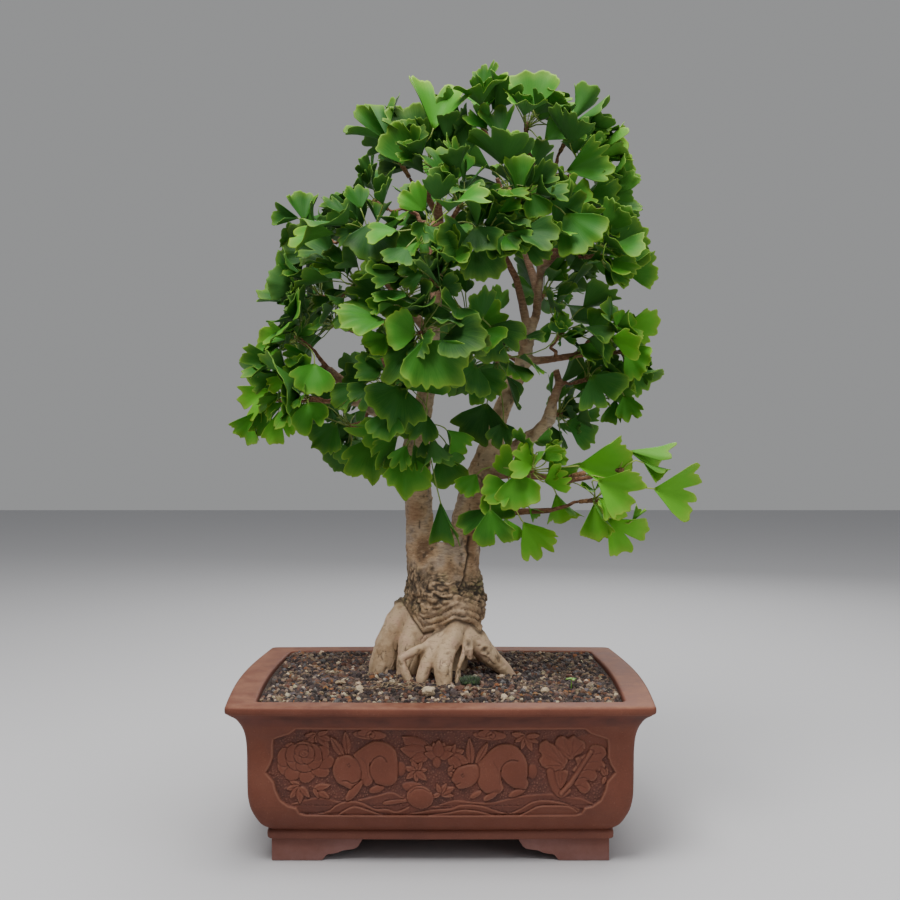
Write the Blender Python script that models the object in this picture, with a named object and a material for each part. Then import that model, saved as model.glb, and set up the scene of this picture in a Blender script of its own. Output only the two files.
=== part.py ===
"""A ginkgo bonsai in its unglazed clay pot, in metres, +Z up, the long side of the pot along X.

The tree is one solid from its roots to its branch tips. Each leaf spray is a solid of its own: a twig that carries
on from a branch tip, with its leaf stalks and fan-shaped blades. The pot, the soil, the drainage screens and their
wire clips, the moss, the seedling and the pumice stones are separate pieces. The whole is centred on its own box.
"""

import math
import random

import bmesh
import bpy
from mathutils import Matrix, Vector
from mathutils.bvhtree import BVHTree

MM = 0.001
GAP = 0.3 * MM

# The pot
POT_HALF_X = 230 * MM
POT_HALF_Y = 180 * MM
POT_HEIGHT = 178.5 * MM
CORNER = 7 * MM
BOW_X = 10 * MM
BOW_Y = 5 * MM
BASE_Z = 25 * MM
FLOOR_Z = 42 * MM
# The outer face from the base up to the rim, as (inset from the rim's edge, height)
POT_OUTSIDE = (
    (43, 25), (40, 26.5), (40, 33.5), (43, 35), (39, 37.5), (31.5, 46), (24.5, 61), (21, 86), (20.5, 124),
    (19.3, 140), (16.2, 152), (10.5, 162), (4, 167.5), (1, 170), (0, 171.5), (0, 176.5), (2, 178.5),
)
# The inner face from the rim down to the floor
POT_INSIDE = ((27.5, 178.5), (29.5, 176.5), (30, 86), (33.5, 61), (41, 47), (48, 42))
DRAIN_X = 92 * MM
DRAIN_RADIUS = 11 * MM

# A foot's outline along the pot's side, from its outer end inwards, as (distance, height)
FOOT_OUTLINE = ((0, 0), (54, 0), (58, 6), (73, 9), (90, 12), (96, 17.5), (99, 22), (99, 29), (0, 29))
FOOT_HALF_X = 185 * MM
FOOT_HALF_Y = 135 * MM
FOOT_THICK = 17 * MM

# The soil
SOIL_CLEAR = 0.6 * MM
SOIL_EDGE_Z = 171 * MM
MOUND_RISE = 11 * MM
BACK_RISE = 5 * MM

# Drainage
SCREEN_SIDE = 44 * MM
SCREEN_THICK = 1.2 * MM
SCREEN_OPENINGS = 4
SCREEN_BAR = 3 * MM
CLIP_WIRE = 0.9 * MM

# The trunk, as (x, y, z, half width, half depth) from its buried foot to the fork, in millimetres
TRUNK_RINGS = (
    (-6, 4, 130, 30, 28), (-6, 2, 160, 34, 31), (-6, 2, 186, 36, 32), (-4, 2, 208, 39, 35), (0, 0, 230, 44, 39),
    (6, 0, 250, 49, 43), (6, 0, 270, 49, 43), (5, 0, 288, 45, 40), (4, 0, 304, 41, 36), (4, 0, 322, 42, 32),
    (4, 1, 334, 36, 24),
)
TRUNK_SIDES = 22

# Roots, as points (x, y, z, radius) that end in the soil, in millimetres
ROOTS = (
    # the broad root on the left and the one beside it
    ((-38, 2, 262, 14), (-54, 0, 241, 14.5), (-63, -2, 216, 16.5), (-69, -4, 190, 18), (-74, -6, 164, 14)),
    ((-26, -14, 244, 15), (-36, -21, 218, 15), (-39, -26, 194, 14), (-42, -30, 164, 10)),
    # the thin root that runs to the left and turns down
    ((4, -38, 236, 9), (-14, -50, 222, 6.5), (-32, -54, 214, 5.6), (-46, -55, 207, 5.6), (-43, -56, 194, 5.4),
     (-38, -56, 182, 5.2), (-36, -57, 162, 4)),
    # the middle root, with a short one on its left and a very thin one on its right
    ((22, -22, 246, 15), (14, -40, 231, 14), (6, -54, 214, 13), (3, -63, 197, 12), (4, -69, 181, 9.5), (5, -75, 158, 6)),
    ((4, -42, 230, 10), (-8, -50, 214, 9.5), (-17, -55, 199, 9), (-22, -59, 184, 7.5), (-25, -61, 162, 5)),
    ((34, -38, 228, 5), (27, -50, 212, 3.4), (21, -57, 197, 3.1), (20, -60, 183, 3.2), (18, -63, 164, 2.6)),
    # the root on the right and the knob beside it
    ((24, -12, 250, 16), (36, -22, 232, 15), (48, -25, 216, 14), (60, -24, 202, 12), (77, -20, 187, 8.5),
     (94, -15, 166, 5)),
    ((30, -28, 234, 8), (32, -40, 222, 7), (33, -44, 211, 5.5), (34, -45, 203, 3)),
    # roots at the back
    ((-26, 20, 242, 14), (-40, 36, 214, 14), (-54, 50, 192, 12), (-72, 64, 162, 7)),
    ((14, 26, 240, 15), (22, 44, 214, 14), (32, 60, 192, 12), (46, 80, 160, 7)),
    ((28, 8, 240, 13), (42, 24, 212, 11.5), (54, 38, 190, 9.5), (74, 52, 160, 6)),
    ((-6, 28, 234, 12), (-10, 48, 210, 11), (-12, 64, 189, 9), (-16, 82, 160, 6)),
)
ROOT_SIDES = 8

# Stems and branches, as points (x, y, z, radius), in millimetres
LIMBS = (
    # the left stem and its thin red leader
    ((-16, 0, 286, 23), (-23, 0, 330, 19.5), (-25, 0, 366, 17.5), (-28, 0, 410, 17.5), (-30, 2, 452, 17),
     (-25, 2, 484, 13.5), (-18, 0, 515, 11.5), (-13, -2, 546, 9), (-9, -4, 576, 7), (-3, -2, 632, 5.2),
     (2, 2, 700, 4.4), (-2, 4, 756, 3.4)),
    # the right stem
    ((20, 0, 286, 25), (27, 0, 332, 21.5), (33, 2, 366, 20), (44, 3, 402, 19.5), (57, 4, 440, 17),
     (68, 4, 478, 12), (76, 3, 502, 10.8), (90, 2, 532, 10.8), (102, 2, 560, 10), (107, 2, 588, 8.5),
     (116, 2, 614, 6), (120, 4, 648, 5), (124, 6, 700, 4.2), (118, 6, 752, 3.4), (112, 4, 800, 2.8)),
    # the side branch on the right, with its knee
    ((66, 0, 436, 12), (92, -4, 454, 8.6), (116, -6, 470, 8.4), (131, -6, 486, 8.4), (136, -4, 508, 6),
     (144, 0, 530, 5), (140, 2, 546, 4)),
    # the branch on the left and its two arms
    ((-30, 0, 468, 12), (-60, -8, 486, 10.5), (-92, -14, 508, 9), (-112, -16, 524, 7), (-134, -18, 546, 5)),
    ((-88, -12, 505, 7), (-112, -16, 507, 5.2), (-140, -20, 508, 4.4), (-160, -22, 508, 3.6)),
    # the twig right across, above the knee
    ((106, 0, 556, 6), (130, -8, 558, 4.6), (160, -18, 562, 4), (186, -24, 566, 3.2)),
    # the upper branch on the left
    ((-10, -2, 584, 6.5), (-34, -12, 616, 5.4), (-60, -20, 644, 5), (-78, -22, 666, 4.4), (-104, -20, 700, 3.2)),
    # the upper branch between the stems
    ((107, 2, 590, 6.5), (98, -14, 626, 5), (90, -30, 652, 4.4), (76, -46, 676, 3.6), (62, -60, 700, 3)),
    # the two low branches on the right, which come forward
    ((58, -2, 420, 9), (86, -22, 420, 5), (120, -40, 418, 4.4), (150, -56, 414, 3.8), (176, -66, 412, 3.2)),
    ((40, -4, 370, 9), (70, -22, 374, 4.8), (100, -38, 377, 4), (128, -50, 379, 3.4), (150, -56, 380, 3)),
    # branches to the back
    ((-26, 6, 452, 9), (-40, 40, 480, 7), (-56, 70, 512, 5.6), (-66, 92, 548, 4.4), (-84, 100, 590, 3.4)),
    ((66, 8, 470, 8), (74, 44, 496, 6.4), (86, 74, 528, 5.2), (104, 98, 560, 4.2), (116, 110, 600, 3.2)),
    ((-6, 2, 600, 6), (-8, 34, 632, 5), (-10, 62, 668, 4.4), (-14, 84, 706, 3.6), (-30, 92, 752, 3)),
    ((119, 6, 640, 6), (112, 32, 672, 5), (102, 58, 708, 4.2), (88, 74, 750, 3.4), (72, 78, 796, 3)),
    # branches to the front
    ((-18, -4, 516, 8), (-24, -30, 534, 5.6), (-30, -56, 554, 4.6), (-28, -80, 574, 3.6)),
    ((104, -2, 576, 7), (84, -28, 586, 5), (60, -50, 592, 4.2), (42, -66, 600, 3.4)),
    ((0, 0, 664, 5.5), (-4, -28, 682, 4.6), (-10, -54, 696, 4), (-14, -76, 706, 3.2)),
    ((122, 4, 668, 5.5), (138, -12, 684, 4.4), (156, -24, 690, 3.8), (172, -32, 684, 3)),
    # the crown
    ((0, 4, 726, 4.6), (-14, -2, 752, 4), (-30, -10, 772, 3.4), (-42, -16, 784, 2.8)),
    ((118, 6, 752, 4.4), (134, 2, 780, 3.8), (146, -2, 804, 3.2), (150, -4, 820, 2.8)),
)
MAIN_STEMS = 2
STEM_SIDES = 12
LIMB_SIDES = 8

# Branchlets and the sprays that they carry
BRANCHLET_SIDES = 5
BRANCHLET_START = 3.4 * MM
BRANCHLET_END = 2.3 * MM
LIMB_STOPS = 33 * MM
SPRAY_TWIG = 16 * MM
HUB_RINGS = ((0, 2.6), (5, 3.5), (9.5, 3.1), (13.5, 1.3))
HUB_SIDES = 6
LEAF_THICK = 0.9 * MM
STALK_HALF = 1.2 * MM
STALK_CLEAR = 8 * MM
WIDE_AT = 0.5
WIDE_HALF = 0.8
END_HALF = 0.5
LEAVES_A_SPRAY = 12
# Positions are read from in front, where the eye stands this far before the trunk and this high
EYE_DISTANCE = 1434
EYE_HEIGHT = 466

# Where each spray's stalks meet: (x, z) as seen from in front, and the depth y behind the trunk's plane
FRONT_SPRAYS = (
    (-46, 793, -20), (-8, 788, -40), (52, 838, -10), (104, 838, -20), (152, 824, 0), (168, 788, -30),
    (22, 742, -80), (96, 752, -70), (194, 742, 10), (190, 684, -40), (130, 708, -50), (-142, 706, 20),
    (-84, 708, -60), (-16, 716, -110), (58, 712, -100), (-6, 652, -100), (-98, 648, -50), (-142, 634, 10),
    (-170, 582, -30), (-176, 546, -30), (-200, 510, 10), (-158, 512, -50), (-108, 478, 20), (-44, 536, -70),
    (-24, 588, -110), (34, 606, -90), (68, 560, -50), (-20, 482, -50), (144, 588, -40), (196, 592, -30),
    (218, 568, 0), (176, 534, 10), (142, 492, 20), (108, 424, -60), (170, 420, -90), (214, 424, -80),
    (184, 388, -70), (84, 384, -50),
)
BACK_SPRAYS = (
    (-66, 524, 130), (-124, 600, 90), (-40, 634, 140), (48, 568, 150), (124, 636, 120), (-8, 724, 130),
    (84, 764, 120), (-76, 748, 80), (160, 690, 80),
)

# Leaves as seen from in front: where the blade starts, where its edge's middle is, the depth of its start, how
# far its edge comes nearer, how open the fan is (0 to 1), and its turn about its own middle line in degrees
LEAVES = (
    # the crown, left
    (-62, 822, -112, 858, -30, 10, 0.40, 30), (-66, 824, -74, 884, -30, -10, 0.55, -20),
    (-52, 826, -50, 868, -10, 0, 0.50, 40), (-24, 806, -40, 866, 0, 10, 0.60, 30),
    (-32, 790, -54, 844, -40, 20, 0.60, -30), (-32, 792, -80, 790, -10, 0, 0.50, 50),
    (-9, 836, 0, 908, -50, -5, 0.62, 10), (-14, 800, -10, 850, -20, 0, 0.50, 60),
    (30, 802, 18, 842, -40, -15, 0.70, 170), (10, 744, 30, 808, -90, 20, 0.85, 20),
    (50, 884, 58, 918, 0, 0, 0.80, -50), (56, 838, 38, 864, -20, 10, 0.80, 30),
    (74, 826, 62, 868, -30, 0, 0.60, 20), (78, 812, 74, 848, -10, 10, 0.80, -30),
    # the crown, right
    (112, 860, 106, 916, -40, 0, 0.82, 8), (120, 852, 138, 886, -10, 0, 0.70, -30),
    (92, 820, 96, 856, 0, 10, 0.70, 40), (160, 848, 182, 888, 0, -10, 0.35, 160),
    (162, 846, 208, 856, 0, 10, 0.45, 30), (126, 824, 154, 848, -20, 10, 0.70, -20),
    (150, 810, 184, 824, -20, 10, 0.60, 30), (180, 808, 228, 830, -10, 0, 0.45, 40),
    (152, 786, 204, 804, -30, 10, 0.62, 0), (206, 776, 238, 800, 0, 10, 0.60, 40),
    (172, 756, 214, 770, -20, 20, 0.60, 50), (214, 736, 238, 756, 10, 0, 0.80, -40),
    # the upper middle
    (96, 754, 95, 804, -90, 10, 0.42, 0), (110, 770, 132, 794, -90, 20, 0.50, 30),
    (136, 720, 168, 764, -60, 10, 0.75, 20), (110, 760, 118, 730, -50, 10, 0.60, -20),
    (206, 690, 252, 716, -50, 20, 0.85, 10), (220, 667, 266, 670, -40, 10, 0.55, 20),
    (150, 736, 184, 692, -60, 30, 0.85, 0), (186, 722, 212, 730, -30, 0, 0.60, 170),
    (100, 702, 132, 688, -80, 20, 0.60, 30), (132, 742, 126, 706, -60, 20, 0.50, -20),
    # the left shoulder
    (-165, 726, -172, 760, 20, 0, 0.60, 20), (-172, 730, -204, 732, 20, 10, 0.45, 40),
    (-146, 686, -192, 708, 0, 0, 0.95, 0), (-96, 716, -122, 750, -50, 0, 0.80, 10),
    (-86, 724, -80, 686, -80, 30, 0.85, 0), (-76, 724, -80, 756, -40, -10, 0.50, 30),
    (-18, 738, -42, 766, -110, 10, 1.00, 0), (-22, 726, -56, 716, -100, 20, 0.70, 30),
    (36, 706, 2, 696, -130, 20, 0.85, 10), (42, 720, 56, 690, -120, 30, 0.80, 0),
    (44, 718, 42, 762, -110, 10, 0.40, 40), (52, 722, 84, 736, -110, 20, 0.55, 20),
    (42, 694, 60, 656, -110, 20, 0.90, -10), (0, 648, 24, 652, -130, 10, 0.90, 20),
    (0, 646, -20, 686, -130, 0, 0.34, 20), (-26, 690, -38, 672, -120, 10, 0.90, 0),
    (-20, 664, -48, 656, -120, 10, 0.80, 20), (-18, 724, -24, 702, -120, 20, 0.80, -30),
    # the left side
    (-113, 660, -110, 688, -70, 0, 0.34, 30), (-168, 624, -216, 646, 10, 0, 0.55, 40),
    (-160, 648, -186, 658, 30, -5, 0.50, -30), (-120, 656, -142, 676, 0, 0, 0.80, 20),
    (-62, 628, -112, 638, -80, 30, 0.70, 45), (-114, 642, -138, 633, -40, 10, 0.34, 50),
    (-176, 590, -206, 608, -40, 10, 0.80, 10), (-176, 578, -220, 588, -20, 10, 0.45, 30),
    (-174, 586, -156, 604, -60, 10, 0.45, 40), (-224, 562, -266, 558, -20, 10, 0.66, 20),
    (-196, 554, -240, 554, -50, 20, 0.45, 30), (-194, 554, -202, 530, -60, 20, 0.90, 0),
    (-158, 562, -188, 560, -50, 20, 0.45, 50), (-152, 554, -158, 522, -70, 20, 0.80, 0),
    (-182, 540, -202, 518, -40, 10, 0.70, 20), (-206, 522, -238, 498, 10, 10, 0.60, 40),
    (-222, 496, -242, 460, 0, 10, 0.50, 20), (-214, 500, -220, 468, 10, 10, 0.60, -30),
    (-196, 496, -192, 462, -20, 10, 0.80, 10), (-172, 510, -180, 484, -60, 10, 0.80, 0),
    (-160, 507, -152, 474, -70, 20, 0.70, 10), (-126, 482, -150, 450, 0, 10, 0.85, 20),
    (-78, 466, -96, 420, 0, 20, 0.90, 10), (-64, 470, -66, 436, 30, 10, 0.80, 20),
    # the middle, in front of the stems
    (-46, 526, -68, 482, -90, 30, 0.90, 0), (-30, 588, -64, 600, -130, 20, 1.00, 10),
    (-32, 580, -46, 536, -120, 30, 0.90, 0), (-20, 582, 2, 530, -130, 20, 0.80, -8),
    (-44, 642, -58, 604, -100, 10, 0.90, 20), (14, 592, 56, 574, -120, 20, 0.80, 10),
    (52, 608, 44, 642, -100, 20, 0.80, 50), (44, 602, 78, 618, -80, 20, 0.80, 0),
    (60, 600, 84, 562, -60, 20, 0.85, 10), (44, 546, 66, 514, -60, 20, 0.80, 20),
    (56, 506, 46, 456, -30, 10, 0.75, 20), (76, 482, 75, 454, -50, 20, 0.75, 10),
    (-16, 492, -28, 460, -40, 10, 0.80, 10), (-42, 446, -39, 398, -50, 20, 0.66, 0),
    (0, 448, 16, 408, -40, 10, 0.55, 10), (0, 386, 12, 334, -30, 0, 0.42, 30),
    # the right side
    (134, 590, 124, 592, -60, 10, 0.90, 0), (142, 590, 144, 606, -60, 10, 0.90, 0),
    (148, 586, 166, 588, -60, 10, 0.60, 30), (182, 594, 202, 614, -50, 10, 0.80, 10),
    (214, 594, 226, 616, -40, 10, 0.70, 30), (228, 602, 262, 600, -30, 10, 0.75, 20),
    (206, 586, 242, 578, -60, 30, 0.60, 50), (224, 572, 250, 546, -40, 20, 0.85, 10),
    (226, 548, 264, 528, 0, 0, 0.60, 40), (182, 540, 208, 504, -30, 20, 0.90, 0),
    (222, 516, 232, 486, -10, 10, 0.70, 10), (212, 510, 210, 482, 0, 10, 0.50, 20),
    (152, 484, 196, 474, 10, -10, 0.80, 20), (142, 494, 166, 504, 30, 0, 0.90, 0),
    # the low branches on the right
    (122, 438, 152, 450, -60, 10, 0.70, 30), (166, 430, 230, 434, -110, 10, 0.60, 10),
    (190, 412, 240, 390, -120, 20, 0.66, 20), (228, 448, 276, 438, -80, -10, 0.40, 30),
    (246, 434, 272, 414, -90, 0, 0.34, 30), (258, 402, 312, 398, -90, 0, 0.70, 20),
    (186, 384, 194, 340, -90, 10, 0.50, 20), (202, 366, 240, 330, -90, 10, 0.62, 0),
    (86, 404, 54, 394, -90, 20, 0.70, 20), (92, 420, 100, 378, -90, 20, 0.70, 0),
    (112, 430, 88, 440, -80, 20, 0.80, 20), (126, 410, 156, 418, -80, 20, 0.70, 20),
    (140, 396, 152, 362, -60, 0, 0.50, 30), (56, 378, 45, 346, -70, 20, 0.70, 0),
    (60, 378, 68, 330, -60, 10, 0.62, 20), (100, 362, 130, 322, -60, 10, 0.66, 10),
    (44, 420, 28, 394, -40, 10, 0.60, 20), (188, 392, 204, 374, -40, 10, 0.70, 0),
)

# The crown's outline as seen from in front, as (height, left edge, right edge)
OUTLINE = (
    (905, -15, 125), (880, -75, 135), (850, -105, 190), (810, -80, 215), (770, -75, 220), (740, -165, 235),
    (700, -190, 250), (660, -190, 245), (630, -195, 190), (600, -200, 245), (560, -240, 250), (520, -225, 240),
    (490, -225, 215), (462, -150, 180), (440, -115, 150), (425, -60, 60),
)
# Places where one sees between the leaves from in front, as (x, z, radius)
CLEARINGS = (
    (20, 490, 27), (114, 512, 20), (170, 462, 22), (92, 622, 10), (172, 636, 14), (-126, 542, 9), (28, 548, 8),
    (-60, 745, 8), (172, 770, 10),
)

PUMICE = ((-14, -118, 7.5), (-92, -92, 5.5), (118, -96, 5), (70, -128, 4.5))
MOSS_AT = (34, -74)
SEEDLING_AT = (150, -70)

rng = random.Random(11)


def clear_scene():
    for obj in list(bpy.data.objects):
        bpy.data.objects.remove(obj, do_unlink=True)


def make_material(name, colour, roughness):
    material = bpy.data.materials.new(name)
    material.use_nodes = True
    shader = material.node_tree.nodes["Principled BSDF"]
    shader.inputs["Base Color"].default_value = (*colour, 1.0)
    shader.inputs["Roughness"].default_value = roughness
    shader.inputs["Metallic"].default_value = 0.0
    return material


def make_object(name, bm, material=None):
    mesh = bpy.data.meshes.new(name)
    bmesh.ops.recalc_face_normals(bm, faces=bm.faces)
    bm.to_mesh(mesh)
    bm.free()
    obj = bpy.data.objects.new(name, mesh)
    bpy.context.scene.collection.objects.link(obj)
    if material:
        mesh.materials.append(material)
    return obj


def make_cutter(name, bm):
    cutter = make_object(name, bm)
    cutter.hide_render = True
    cutter.display_type = "WIRE"
    return cutter


def combine(obj, others, operation):
    """Joins others to obj, or cuts them from it, and drops them."""
    group = bpy.data.collections.new(obj.name + "_tools")
    for other in others:
        group.objects.link(other)
    modifier = obj.modifiers.new("combine", "BOOLEAN")
    modifier.operation = operation
    modifier.operand_type = "COLLECTION"
    modifier.collection = group
    modifier.solver = "EXACT"
    graph = bpy.context.evaluated_depsgraph_get()
    mesh = bpy.data.meshes.new_from_object(obj.evaluated_get(graph))
    obj.modifiers.clear()
    obj.data = mesh
    for other in others:
        bpy.data.objects.remove(other, do_unlink=True)
    bpy.data.collections.remove(group)


def tidy_mesh(obj, distance, flat_degrees=0.0):
    """Merges doubles and makes triangles, first joining faces that are flat to within so many degrees."""
    bm = bmesh.new()
    bm.from_mesh(obj.data)
    bmesh.ops.remove_doubles(bm, verts=bm.verts, dist=distance)
    bmesh.ops.dissolve_degenerate(bm, dist=distance, edges=bm.edges)
    if flat_degrees:
        bmesh.ops.dissolve_limit(bm, angle_limit=math.radians(flat_degrees), verts=bm.verts, edges=bm.edges)
    bmesh.ops.triangulate(bm, faces=bm.faces)
    bm.to_mesh(obj.data)
    bm.free()


def add_rings(bm, rings):
    """A closed solid through rings of equally many points, with its first and last ring capped."""
    loops = [[bm.verts.new(point) for point in ring] for ring in rings]
    count = len(loops[0])
    for low, high in zip(loops, loops[1:]):
        for i in range(count):
            j = (i + 1) % count
            bm.faces.new((low[i], low[j], high[j], high[i]))
    bm.faces.new(list(reversed(loops[0])))
    bm.faces.new(loops[-1])
    return loops


def frames_along(points):
    """A side vector and an up vector at each point of a path, turning as little as possible."""
    result = []
    side = None
    for i, point in enumerate(points):
        before = points[max(i - 1, 0)]
        after = points[min(i + 1, len(points) - 1)]
        along = (after - before).normalized()
        if side is None:
            side = along.cross(Vector((0, 1, 0)) if abs(along.y) < 0.9 else Vector((1, 0, 0)))
        side = (side - along * side.dot(along)).normalized()
        result.append((side, along.cross(side)))
    return result


def tube_rings(points, radii, sides):
    turns = [2 * math.pi * i / sides for i in range(sides)]
    return [
        [point + radius * (math.cos(a) * side + math.sin(a) * up) for a in turns]
        for point, radius, (side, up) in zip(points, radii, frames_along(points))
    ]


def tube(rows, sides, extra=0.0):
    """A closed tube through rows of (x, y, z, radius) in millimetres, made thicker and longer by extra metres."""
    points = [Vector(row[:3]) * MM for row in rows]
    radii = [row[3] * MM + extra for row in rows]
    points[-1] = points[-1] + (points[-1] - points[-2]).normalized() * extra
    return ring_solid(tube_rings(points, radii, sides))


def ring_solid(rings):
    """The closed solid through rings, split into triangles the same way whatever its thickness."""
    bm = bmesh.new()
    add_rings(bm, rings)
    bmesh.ops.triangulate(bm, faces=bm.faces, quad_method="FIXED")
    return bm


def pot_ring(inset, height, corner_points=3):
    """The pot's outline, a rectangle with bowed sides and small round corners, inset from the rim's edge."""
    half_x = POT_HALF_X - inset * MM
    half_y = POT_HALF_Y - inset * MM
    bow = 1 - 0.5 * min(inset / 43, 1)
    ring = []
    for corner, (sx, sy) in enumerate(((1, -1), (1, 1), (-1, 1), (-1, -1))):
        start = math.radians(-90 + 90 * corner)
        for i in range(corner_points):
            a = start + math.radians(90) * i / (corner_points - 1)
            x = sx * (half_x - CORNER) + CORNER * math.cos(a)
            y = sy * (half_y - CORNER) + CORNER * math.sin(a)
            ring.append(Vector((x, y, height * MM)))
        runs = 4 if corner % 2 == 0 else 6
        for i in range(1, runs):
            t = i / runs
            swell = math.sin(math.pi * t) * bow
            if corner % 2 == 0:
                x, y = sx * (half_x + BOW_X * swell), (2 * t - 1) * sx * (half_y - CORNER)
            else:
                x, y = (1 - 2 * t) * sx * (half_x - CORNER), sy * (half_y + BOW_Y * swell)
            ring.append(Vector((x, y, height * MM)))
    return ring


def foot_bracket(along_x, sx, sy):
    """One arm of a corner foot: the cloud outline, as thick as the foot, along the long or the short side."""
    bm = bmesh.new()
    faces = []
    inset = 0 if along_x else 0.4 * MM
    for offset in (0, FOOT_THICK):
        ring = []
        for distance, height in FOOT_OUTLINE:
            run = FOOT_HALF_X - distance * MM if along_x else FOOT_HALF_X - offset - inset
            depth = FOOT_HALF_Y - offset if along_x else FOOT_HALF_Y - 0.8 * distance * MM - inset
            z = height * MM if height > 0 or along_x else 0.0
            ring.append(bm.verts.new((sx * run, sy * depth, z)))
        faces.append(ring)
    count = len(FOOT_OUTLINE)
    for i in range(count):
        j = (i + 1) % count
        bm.faces.new((faces[0][i], faces[0][j], faces[1][j], faces[1][i]))
    bm.faces.new(faces[0])
    bm.faces.new(list(reversed(faces[1])))
    return bm


def cylinder(x, y, low, high, radius, sides):
    turns = [2 * math.pi * i / sides for i in range(sides)]
    bm = bmesh.new()
    add_rings(
        bm, [[Vector((x + radius * math.cos(a), y + radius * math.sin(a), z)) for a in turns] for z in (low, high)]
    )
    return bm


def box(centre, half):
    bm = bmesh.new()
    bmesh.ops.create_cube(bm, size=2.0)
    bmesh.ops.scale(bm, vec=half, verts=bm.verts)
    bmesh.ops.translate(bm, vec=centre, verts=bm.verts)
    return bm


def make_pot(material):
    bm = bmesh.new()
    add_rings(bm, [pot_ring(inset, height) for inset, height in (*POT_OUTSIDE, *POT_INSIDE)])
    pot = make_object("pot", bm, material)
    arms = [
        make_cutter(f"foot_{along_x}_{sx}_{sy}", foot_bracket(along_x, sx, sy))
        for along_x in (True, False) for sx in (-1, 1) for sy in (-1, 1)
    ]
    combine(pot, arms, "UNION")
    holes = [
        make_cutter(f"hole_{sx}", cylinder(sx * DRAIN_X, 0, 0.2 * BASE_Z, 1.5 * FLOOR_Z, DRAIN_RADIUS, 14))
        for sx in (-1, 1)
    ]
    combine(pot, holes, "DIFFERENCE")
    tidy_mesh(pot, 1e-6)
    return pot


def soil_height(x, y):
    """The soil's surface: level along the rim, mounded round the trunk and heaped a little at the back."""
    mound = math.exp(-((x / 0.125) ** 2 + (y / 0.105) ** 2))
    back = 1 / (1 + math.exp(-(y - 0.04) / 0.03))
    edge = max(abs(x) / 0.2, abs(y) / 0.15)
    return SOIL_EDGE_Z + MOUND_RISE * mound + BACK_RISE * back * (1 - 0.5 * edge ** 6) + 1.5 * MM * (1 - edge ** 4)


def make_soil(material, root_cutters, screen_cutters):
    clear = SOIL_CLEAR / MM
    rings = [pot_ring(inset + clear, height + (GAP / MM if i == 0 else 0.4)) for i, (inset, height)
             in enumerate(reversed(POT_INSIDE[2:]))]
    for share in (1.0, 0.9, 0.7, 0.45, 0.2):
        ring = [Vector((p.x * share, p.y * share, 0)) for p in pot_ring(POT_INSIDE[1][0] + clear, 0)]
        for point in ring:
            point.z = soil_height(point.x, point.y)
        rings.append(ring)
    bm = bmesh.new()
    add_rings(bm, rings)
    bmesh.ops.triangulate(bm, faces=bm.faces)
    soil = make_object("soil", bm, material)
    combine(soil, root_cutters + screen_cutters, "DIFFERENCE")
    tidy_mesh(soil, 1e-6)
    return soil


def trunk_rings(extra=0.0):
    turns = [2 * math.pi * i / TRUNK_SIDES for i in range(TRUNK_SIDES)]
    rings = []
    for row, (x, y, z, wide, deep) in enumerate(TRUNK_RINGS):
        drop = extra if row == 0 else 0.0
        rings.append([
            Vector((
                x * MM + (wide * MM + extra) * math.cos(a) * (1 + 0.05 * math.sin(3 * a + row)),
                y * MM + (deep * MM + extra) * math.sin(a) * (1 + 0.05 * math.sin(3 * a + row)),
                z * MM - drop,
            )) for a in turns
        ])
    return rings


def seen(x, z, depth):
    """The point at this depth, in metres, on the line from the eye to (x, z) in the trunk's plane."""
    share = (EYE_DISTANCE + depth) / EYE_DISTANCE
    return Vector((x * share, depth, EYE_HEIGHT + (z - EYE_HEIGHT) * share)) * MM


def trimmed_limbs(hubs):
    """The limbs, each ended before it comes near a spray, so that a branchlet can carry on to it."""
    result = []
    for rows in LIMBS:
        rows = list(rows)
        while len(rows) > 2 and min((hub - Vector(rows[-1][:3]) * MM).length for hub in hubs) < LIMB_STOPS:
            rows.pop()
        result.append(rows)
    return result


def limb_points(limbs):
    """Points along every limb, with the direction of growth and the radius there."""
    result = []
    for rows in limbs:
        for low, high in zip(rows, rows[1:]):
            a, b = Vector(low[:3]) * MM, Vector(high[:3]) * MM
            for i in range(4):
                t = i / 4
                result.append((a.lerp(b, t), (b - a).normalized(), (low[3] * (1 - t) + high[3] * t) * MM))
        result.append((Vector(rows[-1][:3]) * MM, result[-1][1], rows[-1][3] * MM))
    return result


class Spray:
    """One leaf spray: its twig, its hub of leaf stalks, and the leaves given to it."""

    def __init__(self, index, hub, sites):
        self.index = index
        self.hub = hub
        self.leaves = []
        outward = Vector((hub.x - 0.02, hub.y, 0.5 * (hub.z - 0.56))).normalized()
        best = None
        for point, along, radius in sites:
            reach = hub - point
            length = reach.length
            if length < LIMB_STOPS or radius > 0.012:
                continue
            cost = length - 0.012 * reach.normalized().dot(along) - 0.3 * radius + (0.02 if reach.z < -0.02 else 0)
            if best is None or cost < best[0]:
                best = (cost, point, along, radius)
        _, start, along, radius = best
        reach = hub - start
        self.axis = (reach.normalized() * 0.75 + outward * 0.45 + Vector((0, 0, 0.15))).normalized()
        self.foot = hub - self.axis * SPRAY_TWIG
        middle = start.lerp(self.foot, 0.55) + 0.12 * reach.length * (along - self.axis * 0.6)
        thick = min(radius * 0.9, BRANCHLET_START)
        self.branchlet = [
            (*(start / MM), thick / MM), (*(middle / MM), 0.5 * (thick + BRANCHLET_END) / MM),
            (*((self.foot - self.axis * 6 * MM) / MM), BRANCHLET_END / MM), (*(self.foot / MM), BRANCHLET_END / MM),
        ]


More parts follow.
